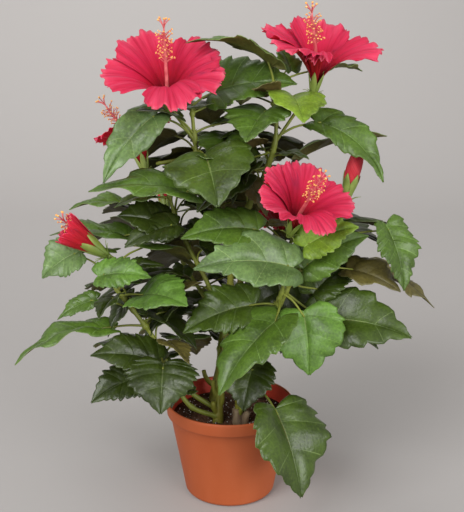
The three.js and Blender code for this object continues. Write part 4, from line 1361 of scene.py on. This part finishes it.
def stamen_piece(name, shape, material):
    """One shape on each of the columns' points, turned the way that stamen grows."""
    growth = Growth(name)
    way = growth.node("InputNamedAttribute", {"data_type": "FLOAT_VECTOR"}, Name="ahead")
    turn = growth.node("FunctionNodeAlignRotationToVector", {"axis": "Z"},
                       Vector=way.outputs["Attribute"])
    size = growth.node("FunctionNodeRandomValue", {"data_type": "FLOAT"},
                       i2=growth.number("Shortest", 0.7), i3=growth.number("Longest", 1.15),
                       Seed=growth.number("Length seed", 8, True))
    placed = growth.node("InstanceOnPoints", Points=growth.start.outputs["Base"],
                         Instance=shape(growth), Rotation=turn.outputs[0], Scale=size.outputs[1])
    return growth.grow(name, stamen_rows(name), placed.outputs[0], material)


FILAMENT_LENGTH = 0.0070


def filament(growth):
    """A wire of the filament's length, standing on its foot."""
    length = growth.number("Filament length", FILAMENT_LENGTH)
    wire = growth.node("MeshCylinder", Vertices=4, Depth=length,
                       Radius=growth.number("Filament radius", 0.0003))
    half = growth.node("ShaderNodeMath", {"operation": "MULTIPLY"}, i0=length, i1=0.5)
    lift = growth.node("ShaderNodeCombineXYZ", Z=half.outputs[0])
    return growth.node("Transform", Geometry=wire.outputs["Mesh"],
                       Translation=lift.outputs[0]).outputs[0]


def anther(growth):
    """A kidney-shaped bead at the filament's end."""
    bead = growth.node("MeshIcoSphere", Radius=growth.number("Anther radius", 0.00085))
    lift = growth.node("ShaderNodeCombineXYZ", Z=growth.number("Filament length", FILAMENT_LENGTH))
    return growth.node("Transform", Geometry=bead.outputs["Mesh"], Translation=lift.outputs[0],
                       Scale=(1.3, 0.85, 0.8)).outputs[0]


stamen_piece("filaments", filament, salmon.material)
stamen_piece("anthers", anther, pollen.material)

# Studio: a pale grey sheet that sweeps up behind, one large soft light high on the left in front,
# a weak one on the right and one on the sheet itself, and a camera a little above the plant,
# looking down on the pot.
FLOOR_STRIPS, CURVE_STRIPS, WALL_STRIPS = 12, 20, 8
SWEEP_REACH, SWEEP_BEND, SWEEP_RADIUS = 4000, 1500, 1600
FLOOR_STEP, WALL_STEP = 250, 150
paper = Shader("studio_paper", (0.405, 0.386, 0.375), 0.95)
sweep, faces = [], []
for k in range(FLOOR_STRIPS + CURVE_STRIPS + WALL_STRIPS + 1):
    if k < FLOOR_STRIPS:
        y, z = -SWEEP_BEND + FLOOR_STEP * k, 0
    else:
        turn = math.pi / 2 * min(1, (k - FLOOR_STRIPS) / CURVE_STRIPS)
        above = max(0, k - FLOOR_STRIPS - CURVE_STRIPS)
        y = SWEEP_BEND + SWEEP_RADIUS * math.sin(turn)
        z = SWEEP_RADIUS * (1 - math.cos(turn)) + WALL_STEP * above
    sweep += [(x * MM, y * MM, z * MM) for x in (-SWEEP_REACH, SWEEP_REACH)]
    if k:
        faces.append((2 * k - 2, 2 * k - 1, 2 * k + 1, 2 * k))
sheet = bpy.data.meshes.new("studio_paper")
sheet.from_pydata(sweep, [], faces)
sheet.materials.append(paper.material)
sheet.polygons.foreach_set("use_smooth", [True] * len(faces))
floor = bpy.data.objects.new("studio_paper", sheet)
bpy.context.scene.collection.objects.link(floor)


def soft_light(name, place, target, size, watts):
    """A square studio light that faces a point, all in metres."""
    lamp = bpy.data.lights.new(name, "AREA")
    lamp.shape, lamp.size, lamp.energy = "SQUARE", size, watts
    light = bpy.data.objects.new(name, lamp)
    light.location = place
    light.rotation_euler = (Vector(target) - Vector(place)).to_track_quat("-Z", "Y").to_euler()
    bpy.context.scene.collection.objects.link(light)


soft_light("key_light", (-1.8, -2.5, 2.2), (0, 0, 0.25), 2.4, 119)
soft_light("fill_light", (2.1, -2.4, 0.9), (0, 0, 0.2), 2.0, 72)
soft_light("backdrop_light", (-0.5, 1.5, 2.7), (0, 3.2, 1.1), 1.6, 31)
world = bpy.data.worlds.new("studio_air")
world.use_nodes = True
background = world.node_tree.nodes["Background"]
background.inputs["Color"].default_value = (1.0, 0.985, 0.965, 1)
background.inputs["Strength"].default_value = 0.50
bpy.context.scene.world = world
bpy.context.scene.view_settings.view_transform = "Standard"

# The camera's place in metres, how far it looks down in radians, and its lens in millimetres.
CAMERA_PLACE, CAMERA_DIP = (0.0023, -0.806, 0.4435), 0.237
FOCAL_LENGTH, SENSOR_WIDTH, SENSOR_HEIGHT = 39.375, 21.75, 24
lens = bpy.data.cameras.new("camera")
lens.sensor_fit, lens.sensor_height, lens.lens = "VERTICAL", SENSOR_HEIGHT, FOCAL_LENGTH
lens.sensor_width = SENSOR_WIDTH
camera = bpy.data.objects.new("camera", lens)
camera.location = CAMERA_PLACE
camera.rotation_euler = (math.pi / 2 - CAMERA_DIP, 0, 0)
bpy.context.scene.collection.objects.link(camera)
bpy.context.scene.camera = camera
